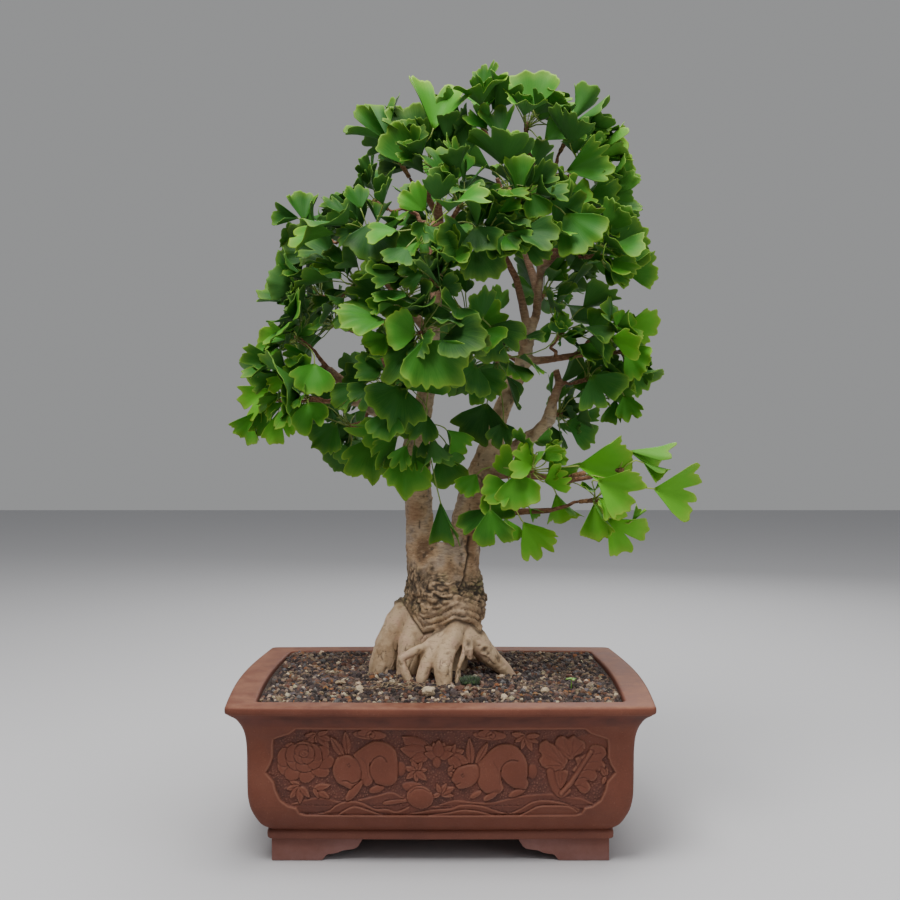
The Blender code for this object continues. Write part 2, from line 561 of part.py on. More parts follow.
def leaf_frame(base, tip, roll, face):
    """The blade's middle line, its upper side's normal and its width direction."""
    along = (tip - base).normalized()
    normal = face - along * face.dot(along)
    if normal.length < 0.1:
        normal = along.orthogonal()
    normal = Matrix.Rotation(math.radians(roll), 3, along) @ normal.normalized()
    return along, normal, along.cross(normal)


def blade_sections(leaf, thick=LEAF_THICK, grow=0.0):
    """The blade's three cross-sections, each four corners. It cups towards its upper side, more if it is less open."""
    base, tip, is_open, roll, face = leaf
    along, normal, width = leaf_frame(base, tip, roll, face)
    length = (tip - base).length
    cup = length * (0.14 - 0.08 * is_open)
    rows = (
        (0.0, STALK_HALF, 0.0), (WIDE_AT, WIDE_HALF * is_open * length, -cup), (1.0, END_HALF * is_open * length, 0.0),
    )
    sections = []
    for share, half, lift in rows:
        centre = base + along * length * share + normal * lift
        across = width * (half + grow)
        up = normal * thick / 2
        sections.append([centre - across - up, centre + across - up, centre + across + up, centre - across + up])
    return sections


def tree_of(points, faces):
    return BVHTree.FromPolygons([tuple(p) for p in points], faces, all_triangles=False)


def ring_faces(rings, start=0):
    faces = []
    count = len(rings[0])
    for r in range(len(rings) - 1):
        for i in range(count):
            j = (i + 1) % count
            a, b = start + r * count, start + (r + 1) * count
            faces.append((a + i, a + j, b + j, b + i))
    return faces


def leaf_hull(hub, leaf, thick, grow, start):
    """Rings of the stalk, from start metres out of its hub, and of the blade, for testing what they would touch."""
    base = leaf[0]
    sections = blade_sections(leaf, thick, grow)
    shift = hub + (base - hub).normalized() * start - base
    return [[corner + shift for corner in sections[0]], *sections]


class Foliage:
    """Leaves placed so far, and everything that they must stay clear of."""

    def __init__(self, obstacles):
        self.points = []
        self.faces = []
        for obj in obstacles:
            start = len(self.points)
            self.points += [v.co.copy() for v in obj.data.vertices]
            self.faces += [tuple(start + i for i in polygon.vertices) for polygon in obj.data.polygons]
        self.tree = tree_of(self.points, self.faces)

    def is_free(self, spray, leaf, thick, grow):
        rings = leaf_hull(spray.hub, leaf, thick, grow, STALK_CLEAR)
        hull = tree_of([p for ring in rings for p in ring], ring_faces(rings) + [(12, 13, 14, 15)])
        return not self.tree.overlap(hull)

    def add(self, rings):
        start = len(self.points)
        self.points += [p for ring in rings for p in ring]
        self.faces += ring_faces(rings, start)
        self.tree = tree_of(self.points, self.faces)


def stalk_directions(spray):
    return [(leaf[0] - spray.hub).normalized() for leaf in spray.leaves]


def can_join(spray, leaf, most):
    if len(spray.leaves) >= most:
        return False
    reach = leaf[0] - spray.hub
    way = reach.normalized()
    if not 0.016 < reach.length < 0.095 or way.dot(spray.axis) < -0.35:
        return False
    if way.dot((leaf[1] - leaf[0]).normalized()) < 0.05:
        return False
    return all(way.dot(other) < 0.93 for other in stalk_directions(spray))


def place_seen_leaves(sprays, foliage):
    left_out = 0
    for number, (x0, z0, x1, z1, depth, nearer, is_open, roll) in enumerate(LEAVES):
        placed = False
        for shift in (0, -8, 8, -16, 16, -24, 24, -34, 34, -46, 46):
            base = seen(x0, z0, depth + shift)
            tip = seen(x1, z1, depth + shift - nearer)
            face = (Vector((0, -EYE_DISTANCE, EYE_HEIGHT)) * MM - base).normalized()
            leaf = (base, tip, is_open, roll, face)
            for spray in sorted(sprays, key=lambda s: (s.hub - base).length)[:4]:
                if can_join(spray, leaf, 11) and foliage.is_free(spray, leaf, 2.4 * MM, 0.5 * MM):
                    spray.leaves.append(leaf)
                    foliage.add(leaf_hull(spray.hub, leaf, LEAF_THICK, 0.0, STALK_CLEAR / 2))
                    placed = True
                    break
            if placed:
                break
        left_out += not placed
    print("seen leaves left out:", left_out)


def apparent(point):
    """Where the eye in front sees the point, as (x, z) in the trunk's plane, in millimetres."""
    share = EYE_DISTANCE / (EYE_DISTANCE + point.y / MM)
    return point.x / MM * share, EYE_HEIGHT + (point.z / MM - EYE_HEIGHT) * share


def inside_outline(point):
    x, z = apparent(point)
    if any((x - cx) ** 2 + (z - cz) ** 2 < r * r for cx, cz, r in CLEARINGS):
        return False
    for (high, l1, r1), (low, l0, r0) in zip(OUTLINE, OUTLINE[1:]):
        if low <= z <= high:
            t = (z - low) / (high - low)
            return l0 + (l1 - l0) * t < x < r0 + (r1 - r0) * t
    return False


def random_leaf(spray, smaller):
    centre = Vector((0.02, 0.0, 0.60))
    outward = (spray.hub - centre).normalized()
    while True:
        way = Vector((rng.gauss(0, 1), rng.gauss(0, 1), rng.gauss(0, 1))).normalized()
        if way.dot(spray.axis) > -0.15:
            break
    way = (way + 0.5 * outward + Vector((0, 0, 0.25))).normalized()
    stalk = rng.uniform(26, 52) * smaller * MM
    size = rng.uniform(36, 54) * smaller * MM
    base = spray.hub + way * stalk
    along = (way * 0.9 + 0.35 * outward + Vector((0, 0, -0.45 + rng.uniform(-0.2, 0.3)))).normalized()
    tip = base + along * size
    face = (outward * 0.7 + Vector((0, 0, 0.75)) + 0.35 * Vector([rng.gauss(0, 1) for _ in range(3)])).normalized()
    return (base, tip, rng.uniform(0.62, 0.95), 0, face)


def fill_with_leaves(sprays, foliage):
    for turn in range(LEAVES_A_SPRAY):
        for spray in sprays:
            if len(spray.leaves) > turn:
                continue
            smaller = 1.0 if turn < 6 else 0.8
            for _ in range(160):
                leaf = random_leaf(spray, smaller)
                middle = leaf[0].lerp(leaf[1], 0.5)
                sides = blade_sections(leaf)[1]
                if not all(inside_outline(p) for p in (middle, leaf[1], sides[0], sides[1])):
                    continue
                if max(abs(leaf[1].y), abs(sides[0].y), abs(sides[1].y)) > 0.196:
                    continue
                if can_join(spray, leaf, LEAVES_A_SPRAY) and foliage.is_free(spray, leaf, 3.4 * MM, 0.8 * MM):
                    spray.leaves.append(leaf)
                    foliage.add(leaf_hull(spray.hub, leaf, LEAF_THICK, 0.0, STALK_CLEAR / 2))
                    break


def corner_order(corners, section):
    """The section's corners in the order that turns least from the face's corners."""
    centre = sum(section, Vector()) / 4
    middle = sum((v.co for v in corners), Vector()) / 4

    def turning(order):
        return sum(
            ((v.co - middle).normalized() - (section[k] - centre).normalized()).length for v, k in zip(corners, order)
        )

    return min(((3 + k, 2 + k, 1 + k, k) for k in range(4)), key=lambda row: turning([k % 4 for k in row]))


def spray_solid(spray, leaves):
    """The twig and its hub as one tube; each leaf grows out of one of the hub's side faces."""
    axis = spray.axis
    foot = spray.foot + axis * GAP
    points = [foot]
    radii = [BRANCHLET_END]
    for distance, radius in HUB_RINGS:
        points.append(spray.hub + axis * (distance * MM - 4 * MM))
        radii.append(radius * MM)
    bm = bmesh.new()
    loops = add_rings(bm, tube_rings(points, radii, HUB_SIDES))
    bmesh.ops.recalc_face_normals(bm, faces=bm.faces)
    free = [
        face for face in bm.faces
        if len(face.verts) == 4 and not any(v in loops[0] for v in face.verts)
    ]
    for leaf in sorted(leaves, key=lambda row: -(row[0] - spray.hub).normalized().dot(axis)):
        way = (leaf[0] - spray.hub).normalized()
        face = max(free, key=lambda f: f.normal.dot(way) + 4 * (f.calc_center_median() - spray.hub).dot(way))
        free.remove(face)
        corners = [loop.vert for loop in face.loops]
        bm.faces.remove(face)
        sections = blade_sections(leaf)
        order = corner_order(corners, sections[0])
        previous = corners
        for section in sections:
            ring = [bm.verts.new(section[k % 4]) for k in order]
            for i in range(4):
                j = (i + 1) % 4
                bm.faces.new((previous[i], previous[j], ring[j], ring[i]))
            previous = ring
        bm.faces.new(previous)
        free = [f for f in free if f.is_valid]
    bmesh.ops.triangulate(bm, faces=bm.faces)
    bm.verts.index_update()
    return bm


def contact_between(first, second):
    """The middle of where two meshes cut each other, or None."""
    hits = first[0].overlap(second[0])
    if not hits:
        return None
    return sum((first[1][a] for a, _ in hits), Vector()) / len(hits)


def mesh_tree(obj):
    points = [v.co.copy() for v in obj.data.vertices]
    faces = [tuple(p.vertices) for p in obj.data.polygons]
    centres = [p.center.copy() for p in obj.data.polygons]
    return tree_of(points, faces), centres


def bare_twig_tree(spray):
    bm = spray_solid(spray, [])
    points = [v.co.copy() for v in bm.verts]
    faces = [tuple(v.index for v in f.verts) for f in bm.faces]
    centres = [f.calc_center_median() for f in bm.faces]
    bm.free()
    return tree_of(points, faces), centres


def make_sprays(sprays, solids, material):
    """Makes each spray, without any leaf that would cut into a neighbour or into a neighbour's twig."""
    fixed = [mesh_tree(obj) for obj in solids]
    twigs = [bare_twig_tree(spray) for spray in sprays]
    made = []
    for i, spray in enumerate(sprays):
        name = f"leaf_spray_{spray.index + 1:02d}"
        others = fixed + twigs[:i] + twigs[i + 1:] + made
        while True:
            obj = make_object(name, spray_solid(spray, spray.leaves), material)
            own = mesh_tree(obj)
            contacts = [c for c in (contact_between(own, other) for other in others) if c]
            if not contacts or not spray.leaves:
                break
            spray.leaves.remove(min(spray.leaves, key=lambda leaf: distance_to_leaf(contacts[0], spray.hub, leaf)))
            bpy.data.objects.remove(obj, do_unlink=True)
        made.append(own)


def distance_to_leaf(point, hub, leaf):
    path = [hub.lerp(leaf[0], t / 4) for t in range(4)] + [leaf[0].lerp(leaf[1], t / 4) for t in range(5)]
    return min((point - place).length for place in path)


def make_tree(wood, limbs, sprays):
    trunk = make_object("trunk", ring_solid(trunk_rings()), wood)
    pieces = [make_cutter(f"root_{i}", tube(rows, ROOT_SIDES)) for i, rows in enumerate(ROOTS)]
    for i, rows in enumerate(limbs):
        sides = STEM_SIDES if i < MAIN_STEMS else LIMB_SIDES
        pieces.append(make_cutter(f"limb_{i}", tube(rows, sides)))
    for spray in sprays:
        pieces.append(make_cutter(f"branchlet_{spray.index}", tube(spray.branchlet, BRANCHLET_SIDES)))
    for piece in pieces:
        combine(trunk, [piece], "UNION")
    tidy_mesh(trunk, 2e-6, 2.0)
    return trunk


def make_screen(name, x, material):
    """A square of drainage mesh: a plate with rows of square openings."""
    cell = (SCREEN_SIDE - SCREEN_BAR) / SCREEN_OPENINGS
    marks = []
    for i in range(SCREEN_OPENINGS + 1):
        marks += [-SCREEN_SIDE / 2 + i * cell, -SCREEN_SIDE / 2 + i * cell + SCREEN_BAR]
    low = FLOOR_Z + GAP
    bm = bmesh.new()
    grid = [[bm.verts.new((x + u, v, low)) for v in marks] for u in marks]
    for i in range(len(marks) - 1):
        for j in range(len(marks) - 1):
            if i % 2 and j % 2:
                continue
            bm.faces.new((grid[i][j], grid[i + 1][j], grid[i + 1][j + 1], grid[i][j + 1]))
    raised = bmesh.ops.extrude_face_region(bm, geom=bm.faces[:])
    top = [item for item in raised["geom"] if isinstance(item, bmesh.types.BMVert)]
    bmesh.ops.translate(bm, vec=(0, 0, SCREEN_THICK), verts=top)
    bmesh.ops.dissolve_limit(bm, angle_limit=math.radians(1), verts=bm.verts, edges=bm.edges)
    bmesh.ops.triangulate(bm, faces=bm.faces)
    return make_object(name, bm, material)


def make_clip(name, x, material):
    """The wire that holds a screen: across its middle bar, down through two openings and the hole, and out below."""
    leg = (SCREEN_SIDE - SCREEN_BAR) / SCREEN_OPENINGS / 2
    top = FLOOR_Z + SCREEN_THICK + 2 * GAP + CLIP_WIRE
    below = BASE_Z - GAP - CLIP_WIRE - 0.6 * MM
    half = [(0.0, top), (leg - 1.5 * MM, top), (leg, top - 1.5 * MM), (leg, below + 1.5 * MM),
            (leg + 1.5 * MM, below), (leg + 14 * MM, below)]
    path = [(-u, z) for u, z in reversed(half[1:])] + half
    points = [Vector((x + u, leg, z)) for u, z in path]
    bm = bmesh.new()
    add_rings(bm, tube_rings(points, [CLIP_WIRE] * len(points), 6))
    return make_object(name, bm, material)


def make_stone(name, x, y, radius, material):
    """A rounded, uneven stone that lies on the soil."""
    bm = bmesh.new()
    bmesh.ops.create_icosphere(bm, subdivisions=1, radius=radius)
    for v in bm.verts:
        v.co *= 1 + rng.uniform(-0.16, 0.16)
        v.co.z *= 0.75
    bmesh.ops.rotate(bm, cent=(0, 0, 0), matrix=Matrix.Rotation(rng.uniform(0, 6), 3, "Z"), verts=bm.verts)
    clearance = min(v.co.z - (soil_height(x + v.co.x, y + v.co.y) - soil_height(x, y)) for v in bm.verts)
    bmesh.ops.translate(bm, vec=(x, y, soil_height(x, y) - clearance), verts=bm.verts)
    return make_object(name, bm, material)


def make_moss(x, y, material):
    """A low cushion of moss."""
    turns = [2 * math.pi * i / 10 for i in range(10)]
    rings = []
    for share, lift in ((0.55, 0.0), (1.0, 1.6 * MM), (0.85, 4.5 * MM), (0.4, 6.5 * MM)):
        rings.append([
            Vector((x + 0.011 * share * math.cos(a) * (1 + 0.15 * math.sin(3 * a)), y + 0.008 * share * math.sin(a),
                    lift)) for a in turns
        ])
    bm = bmesh.new()
    add_rings(bm, rings)
    bmesh.ops.triangulate(bm, faces=bm.faces)
    return make_object("moss", bm, material)


def make_seedling(x, y, material):
    """A tiny seedling: a stem with four leaves at its top."""
    stem = 11 * MM
    half = 0.6 * MM
    corners = ((-half, -half), (half, -half), (half, half), (-half, half))
    bm = bmesh.new()
    add_rings(bm, [[Vector((x + u, y + v, z)) for u, v in corners] for z in (0.0, stem, stem + 1.4 * MM)])
    bmesh.ops.recalc_face_normals(bm, faces=bm.faces)
    sides = [f for f in bm.faces if abs(f.normal.z) < 0.1 and f.calc_center_median().z > stem]
    for face in sides:
        way = face.normal.copy()
        across = way.cross(Vector((0, 0, 1)))
        corners = [loop.vert for loop in face.loops]
        middle = face.calc_center_median()
        bm.faces.remove(face)
        previous = corners
        for reach, wide, lift in ((3, 2.2, 0.6), (7, 1.0, 1.4)):
            ring = []
            for v in corners:
                u = 1 if (v.co - middle).dot(across) > 0 else -1
                w = 1 if v.co.z > middle.z else -1
                ring.append(bm.verts.new(middle + way * reach * MM + across * u * wide * MM
                                         + Vector((0, 0, lift * MM + w * 0.5 * MM))))
            for i in range(4):
                j = (i + 1) % 4
                bm.faces.new((previous[i], previous[j], ring[j], ring[i]))
            previous = ring
        bm.faces.new(previous)
    bmesh.ops.triangulate(bm, faces=bm.faces)
    return make_object("seedling", bm, material)


def seat_on(obj, ground):
    """Drops or lifts a piece until it lies just clear of the ground below it."""
    tree = tree_of([v.co for v in ground.data.vertices], [tuple(p.vertices) for p in ground.data.polygons])
    bm = bmesh.new()
    bm.from_mesh(obj.data)
    bmesh.ops.subdivide_edges(bm, edges=bm.edges, cuts=3)
    drops = []
    for v in bm.verts:
        hit = tree.ray_cast(Vector((v.co.x, v.co.y, 0.4)), Vector((0, 0, -1)))[0]
        if hit:
            drops.append(v.co.z - hit.z)
    bm.free()
    obj.data.transform(Matrix.Translation((0, 0, GAP - min(drops))))


def centre_all():
    """Moves everything so that the origin is under the middle of the whole object's box."""
    points = [v.co for obj in bpy.data.objects for v in obj.data.vertices]
    middle = [(min(p[i] for p in points) + max(p[i] for p in points)) / 2 for i in range(2)]
    for obj in bpy.data.objects:
        obj.data.transform(Matrix.Translation((-middle[0], -middle[1], 0)))
    print("moved by", [round(-m, 5) for m in middle])


def main():
    clear_scene()
    clay = make_material("red_clay", (0.20, 0.065, 0.045), 0.75)
    earth = make_material("lava_and_pumice_soil", (0.09, 0.065, 0.055), 0.95)
    wood = make_material("bark", (0.32, 0.23, 0.16), 0.85)
    green = make_material("ginkgo_leaf", (0.06, 0.22, 0.03), 0.5)
    mesh_plastic = make_material("screen_plastic", (0.03, 0.03, 0.03), 0.6)
    wire = make_material("clip_wire", (0.35, 0.30, 0.25), 0.4)
    moss_green = make_material("moss", (0.10, 0.19, 0.03), 0.95)
    pale_stone = make_material("pumice", (0.62, 0.52, 0.38), 0.9)

    hubs = [seen(*place) for place in (*FRONT_SPRAYS, *BACK_SPRAYS)]
    limbs = trimmed_limbs(hubs)
    sites = limb_points(limbs)
    sprays = [Spray(i, hub, sites) for i, hub in enumerate(hubs)]

    pot = make_pot(clay)
    cutters = [make_cutter("trunk_pocket", ring_solid(trunk_rings(0.5 * MM)[:5]))]
    cutters += [
        make_cutter(f"root_pocket_{i}", tube(rows, ROOT_SIDES, 0.5 * MM)) for i, rows in enumerate(ROOTS)
    ]
    pockets = []
    for sx in (-1, 1):
        height = SCREEN_THICK + 2 * CLIP_WIRE + 4 * GAP
        half = (SCREEN_SIDE / 2 + GAP, SCREEN_SIDE / 2 + GAP, height)
        pockets.append(make_cutter(f"screen_pocket_{sx}", box((sx * DRAIN_X, 0, FLOOR_Z), half)))
    soil = make_soil(earth, cutters, pockets)
    trunk = make_tree(wood, limbs, sprays)

    foliage = Foliage([pot, soil, trunk])
    for spray in sprays:
        points = [spray.foot + spray.axis * 2 * MM, spray.hub + spray.axis * 9 * MM]
        foliage.add(tube_rings(points, [3.4 * MM] * 2, 4))
    place_seen_leaves(sprays, foliage)
    fill_with_leaves(sprays, foliage)
    make_sprays(sprays, (pot, soil, trunk), green)
    print("leaves", sum(len(spray.leaves) for spray in sprays), [len(spray.leaves) for spray in sprays])

    for side, sx in (("left", -1), ("right", 1)):
        make_screen(f"drainage_screen_{side}", sx * DRAIN_X, mesh_plastic)
        make_clip(f"screen_clip_{side}", sx * DRAIN_X, wire)
    for i, (x, y, radius) in enumerate(PUMICE):
        seat_on(make_stone(f"pumice_stone_{i + 1}", x * MM, y * MM, radius * MM, pale_stone), soil)
    seat_on(make_moss(MOSS_AT[0] * MM, MOSS_AT[1] * MM, moss_green), soil)
    seat_on(make_seedling(SEEDLING_AT[0] * MM, SEEDLING_AT[1] * MM, green), soil)
    centre_all()


main()
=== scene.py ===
"""Looks of a ginkgo bonsai in an unglazed clay pot: leaves, bark, soil grains, relief and finishes."""

import copy
import itertools
import math
import random

import bmesh
import bpy
import numpy as np
from mathutils import Matrix, Quaternion, Vector, noise
from mathutils.bvhtree import BVHTree


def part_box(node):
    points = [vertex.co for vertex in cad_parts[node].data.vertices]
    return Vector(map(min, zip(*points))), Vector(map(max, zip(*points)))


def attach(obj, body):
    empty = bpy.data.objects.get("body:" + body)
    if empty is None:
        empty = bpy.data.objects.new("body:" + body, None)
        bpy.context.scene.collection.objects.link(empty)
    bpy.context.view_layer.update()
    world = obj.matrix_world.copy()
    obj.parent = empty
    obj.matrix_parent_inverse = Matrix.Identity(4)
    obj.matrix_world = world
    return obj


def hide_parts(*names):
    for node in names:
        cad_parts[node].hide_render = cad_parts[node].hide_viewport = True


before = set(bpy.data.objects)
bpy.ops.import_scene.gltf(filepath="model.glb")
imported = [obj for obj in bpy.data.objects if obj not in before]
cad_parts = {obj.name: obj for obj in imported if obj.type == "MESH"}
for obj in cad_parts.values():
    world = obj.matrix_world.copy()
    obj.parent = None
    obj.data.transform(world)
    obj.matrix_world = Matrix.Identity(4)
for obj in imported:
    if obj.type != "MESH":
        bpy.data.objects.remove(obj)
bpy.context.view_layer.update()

MM = 0.001
# A whole turn in radians, for random headings
WHOLE_TURN = 6.28
VERT, EDGE, FACE = bmesh.types.BMVert, bmesh.types.BMEdge, bmesh.types.BMFace

# The eye of the photograph, from the middle of the pot's footprint
EYE_BACK = 1.434
EYE_UP = 0.466
LENS = 47.36
SHIFT_X = 0.0106
SHIFT_Y = -0.0156

pot_low, pot_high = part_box("pot")
pot_x = (pot_low.x + pot_high.x) / 2
pot_y = (pot_low.y + pot_high.y) / 2


def material(name, roughness, metallic=0.0):
    made = bpy.data.materials.new(name)
    made.use_nodes = True
    shader = made.node_tree.nodes["Principled BSDF"]
    shader.inputs["Roughness"].default_value = roughness
    shader.inputs["Metallic"].default_value = metallic
    return made, made.node_tree, shader


def node(tree, kind, **inputs):
    made = tree.nodes.new(kind)
    for name, value in inputs.items():
        made.inputs[name].default_value = value
    return made


def link(tree, source, target):
    tree.links.new(source, target)


def attribute(tree, name):
    made = tree.nodes.new("ShaderNodeAttribute")
    made.attribute_name = name
    return made


def channels(tree, name):
    """The four numbers that a piece stores in one of its colour layers."""
    layer = attribute(tree, name)
    parts = tree.nodes.new("ShaderNodeSeparateColor")
    link(tree, layer.outputs["Color"], parts.inputs["Color"])
    return (*parts.outputs[:3], layer.outputs["Alpha"])


def ramp(tree, source, stops):
    made = tree.nodes.new("ShaderNodeValToRGB")
    elements = made.color_ramp.elements
    while len(elements) < len(stops):
        elements.new(0.5)
    for element, (place, colour) in zip(elements, stops):
        element.position = place
        element.color = (*colour, 1.0)
    link(tree, source, made.inputs["Fac"])
    return made.outputs["Color"]


def shares(tree, source, *stops):
    """A ramp of plain amounts, such as mix takes for its factor."""
    return ramp(tree, source, [(place, (amount, amount, amount)) for place, amount in stops])


def mix(tree, factor, first, second, blend="MIX"):
    """Colours mixed by a factor; each argument is a socket or a plain value."""
    made = tree.nodes.new("ShaderNodeMix")
    made.data_type = "RGBA"
    made.blend_type = blend
    for index, value in ((0, factor), (6, first), (7, second)):
        if isinstance(value, bpy.types.NodeSocket):
            link(tree, value, made.inputs[index])
        elif index == 0:
            made.inputs[0].default_value = value
        else:
            made.inputs[index].default_value = (*value, 1.0)
    return made.outputs[2]


def times(tree, first, second):
    made = tree.nodes.new("ShaderNodeMath")
    made.operation = "MULTIPLY"
    for index, value in enumerate((first, second)):
        if isinstance(value, bpy.types.NodeSocket):
            link(tree, value, made.inputs[index])
        else:
            made.inputs[index].default_value = value
    return made.outputs[0]


def noise_socket(tree, scale, detail=3.0, roughness=0.55, stretch=None):
    coords = tree.nodes.new("ShaderNodeTexCoord").outputs["Object"]
    if stretch:
        mapping = tree.nodes.new("ShaderNodeMapping")
        mapping.inputs["Scale"].default_value = stretch
        link(tree, coords, mapping.inputs["Vector"])
        coords = mapping.outputs["Vector"]
    made = node(tree, "ShaderNodeTexNoise", Scale=scale, Detail=detail, Roughness=roughness)
    link(tree, coords, made.inputs["Vector"])
    return made.outputs["Fac"]


def bump(tree, height, strength, distance, under=None):
    made = node(tree, "ShaderNodeBump", Strength=strength, Distance=distance)
    link(tree, height, made.inputs["Height"])
    if under:
        link(tree, under, made.inputs["Normal"])
    return made.outputs["Normal"]


def dress(tree, shader, colour, normal):
    link(tree, colour, shader.inputs["Base Color"])
    link(tree, normal, shader.inputs["Normal"])


def of_kind(items, kind):
    return [item for item in items if isinstance(item, kind)]


def made_mesh(name, bm):
    """The bmesh as a mesh; the bmesh itself is freed."""
    mesh = bpy.data.meshes.new(name)
    bm.to_mesh(mesh)
    bm.free()
    return mesh


def add_object(name, data):
    made = bpy.data.objects.new(name, data)
    bpy.context.scene.collection.objects.link(made)
    return made


def smoothstep(low, high, x):
    t = np.clip((x - low) / (high - low), 0, 1)
    return t * t * (3 - 2 * t)


def scatter(cells, seed):
    """A steady random number from 0 to 1 for each whole-numbered place."""
    mixed = cells.astype(np.int64) @ np.array((73856093, 19349663, 83492791)) + seed * 26544357
    mixed = (mixed ^ (mixed >> 13)) * 1274126177
    return ((mixed ^ (mixed >> 16)) & 0xFFFFFF) / 0xFFFFFF


def waves(places, size, seed=0, octaves=1):
    """Smooth random heights from 0 to 1, whose bumps are about size across."""
    total = np.zeros(len(places))
    for octave in range(octaves):
        place = places * 2 ** octave / size
        low = np.floor(place)
        t = place - low
        t = t * t * (3 - 2 * t)
        for corner in itertools.product((0, 1), repeat=3):
            share = np.prod(np.where(corner, t, 1 - t), axis=1)
            total += share * scatter(low + corner, seed + 17 * octave) / 2 ** octave
    return total / (2 - 2 ** (1 - octaves))


def plates(places, size, seed=0):
    """How far each place lies inside its own plate, 0 at the crack between two, and that plate's number."""
    place = places / size
    low = np.floor(place)
    first = np.full(len(places), 9.0)
    second = first.copy()
    own = np.zeros(len(places))
    for step in itertools.product((-1, 0, 1), repeat=3):
        cell = low + step
        heart = cell + np.stack([scatter(cell, seed + k) for k in range(3)], axis=1)
        away = np.linalg.norm(place - heart, axis=1)
        nearer = away < first
        second = np.where(nearer, first, np.minimum(second, away))
        own = np.where(nearer, scatter(cell, seed + 9), own)
        first = np.where(nearer, away, first)
    return second - first, own


def mesh_places(mesh):
    flat = np.empty(len(mesh.vertices) * 3, np.float32)
    mesh.vertices.foreach_get("co", flat)
    return flat.reshape(-1, 3).astype(float)


def mesh_edges(mesh):
    flat = np.empty(len(mesh.edges) * 2, np.int32)
    mesh.edges.foreach_get("vertices", flat)
    return flat.reshape(-1, 2)


def move_mesh(mesh, places):
    mesh.vertices.foreach_set("co", places.astype(np.float32).ravel())
    mesh.update()


def paint(mesh, name, *channels):
    """Stores up to four numbers a point, which the piece's material reads."""
    table = np.zeros((len(mesh.vertices), 4), np.float32)
    for k, channel in enumerate(channels):
        table[:, k] = channel
    mesh.attributes.new(name, "FLOAT_COLOR", "POINT").data.foreach_set("color", table.ravel())


def finish_mesh(name, mesh, materials, slot, *nodes, sharp=None):
    """Makes the mesh a piece of the object that stands for its CAD nodes."""
    for entry in materials:
        mesh.materials.append(entry)
    mesh.shade_smooth()
    if sharp:
        mesh.set_sharp_from_angle(angle=math.radians(sharp))
    piece = add_object(name, mesh)
    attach(piece, "root")
    if nodes:
        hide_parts(*nodes)


FAN_STEPS = 44
FAN_RINGS = (0.03, 0.18, 0.38, 0.58, 0.75, 0.88, 0.965, 1.0)
BLADE_THICK = 0.45 * MM
STALK_RADII = [radius * MM for radius in (1.15, 0.85, 0.75, 0.7, 0.75, 0.85, 0.7)]
# In the CAD, a blade is the only thing whose edges are this short, and it has so many corners
SHORT_EDGE = (0.86 * MM, 0.94 * MM)
BLADE_CORNERS = 12
TWIG_LENGTH = 16 * MM
BUD_LENGTH = 8 * MM
SPUR_KNOTS = 9
# The smaller leaves stay so far inside the spray's box, and clear of the bare stems as seen from in front
SHADED_INSET = 3 * MM
STEMS_MIDDLE, STEMS_HALF, STEMS_LOW, STEMS_HIGH = 0.06, 0.07, 0.38, 0.64
# Where each kind of random draw starts, so that no two share their numbers
SPRAY_SEEDS, SHADED_SEED, STALK_SEED, TONE_SEED = 100, 7000, 50000, 90000


def fan_template():
    """A thin flat fan of unit radius, from -1 to 1 radian about its middle line, that each blade starts from.

    Gives its mesh, each point's turn, reach and underside, its partner on the upper side and the upper faces.
    """
    bm = bmesh.new()
    line = [bm.verts.new((0, share, 0)) for share in FAN_RINGS]
    for low, high in zip(line, line[1:]):
        bm.edges.new((low, high))
    bmesh.ops.rotate(bm, verts=bm.verts, cent=(0, 0, 0), matrix=Matrix.Rotation(1.0, 3, "Z"))
    bmesh.ops.spin(
        bm, geom=bm.verts[:] + bm.edges[:], cent=(0, 0, 0), axis=(0, 0, -1), angle=2.0, steps=FAN_STEPS
    )
    bmesh.ops.remove_doubles(bm, verts=bm.verts, dist=1e-5)
    grown = bmesh.ops.extrude_face_region(bm, geom=bm.faces[:])["geom"]
    bmesh.ops.translate(bm, vec=(0, 0, -0.01), verts=of_kind(grown, VERT))
    bmesh.ops.recalc_face_normals(bm, faces=bm.faces)
    places = np.array([v.co for v in bm.verts])
    under = places[:, 2] < -0.005
    place_of = {tuple(np.round(place[:2], 4)): k for k, place in enumerate(places) if not under[k]}
    partner = np.array([place_of[tuple(np.round(place[:2], 4))] for place in places])
    bm.verts.index_update()
    corners = [[v.index for v in face.verts] for face in bm.faces]
    upper = np.array([four for four in corners if not under[four].any()])
    turn, reach = np.arctan2(places[:, 0], places[:, 1]), np.hypot(places[:, 0], places[:, 1])
    return made_mesh("fan", bm), turn, reach, under, partner, upper


fan_mesh, fan_turn, fan_reach, fan_under, fan_partner, fan_upper = fan_template()


def with_thickness(places):
    """Sets the fan's underside a blade's thickness below its upper side."""
    a, b, c, d = (places[fan_upper[:, k]] for k in range(4))
    facing = np.cross(c - a, d - b)
    normals = np.zeros_like(places)
    for k in range(4):
        np.add.at(normals, fan_upper[:, k], facing)
    normals /= np.maximum(np.linalg.norm(normals, axis=1), 1e-12)[:, None]
    return places[fan_partner] - fan_under[:, None] * normals[fan_partner] * BLADE_THICK


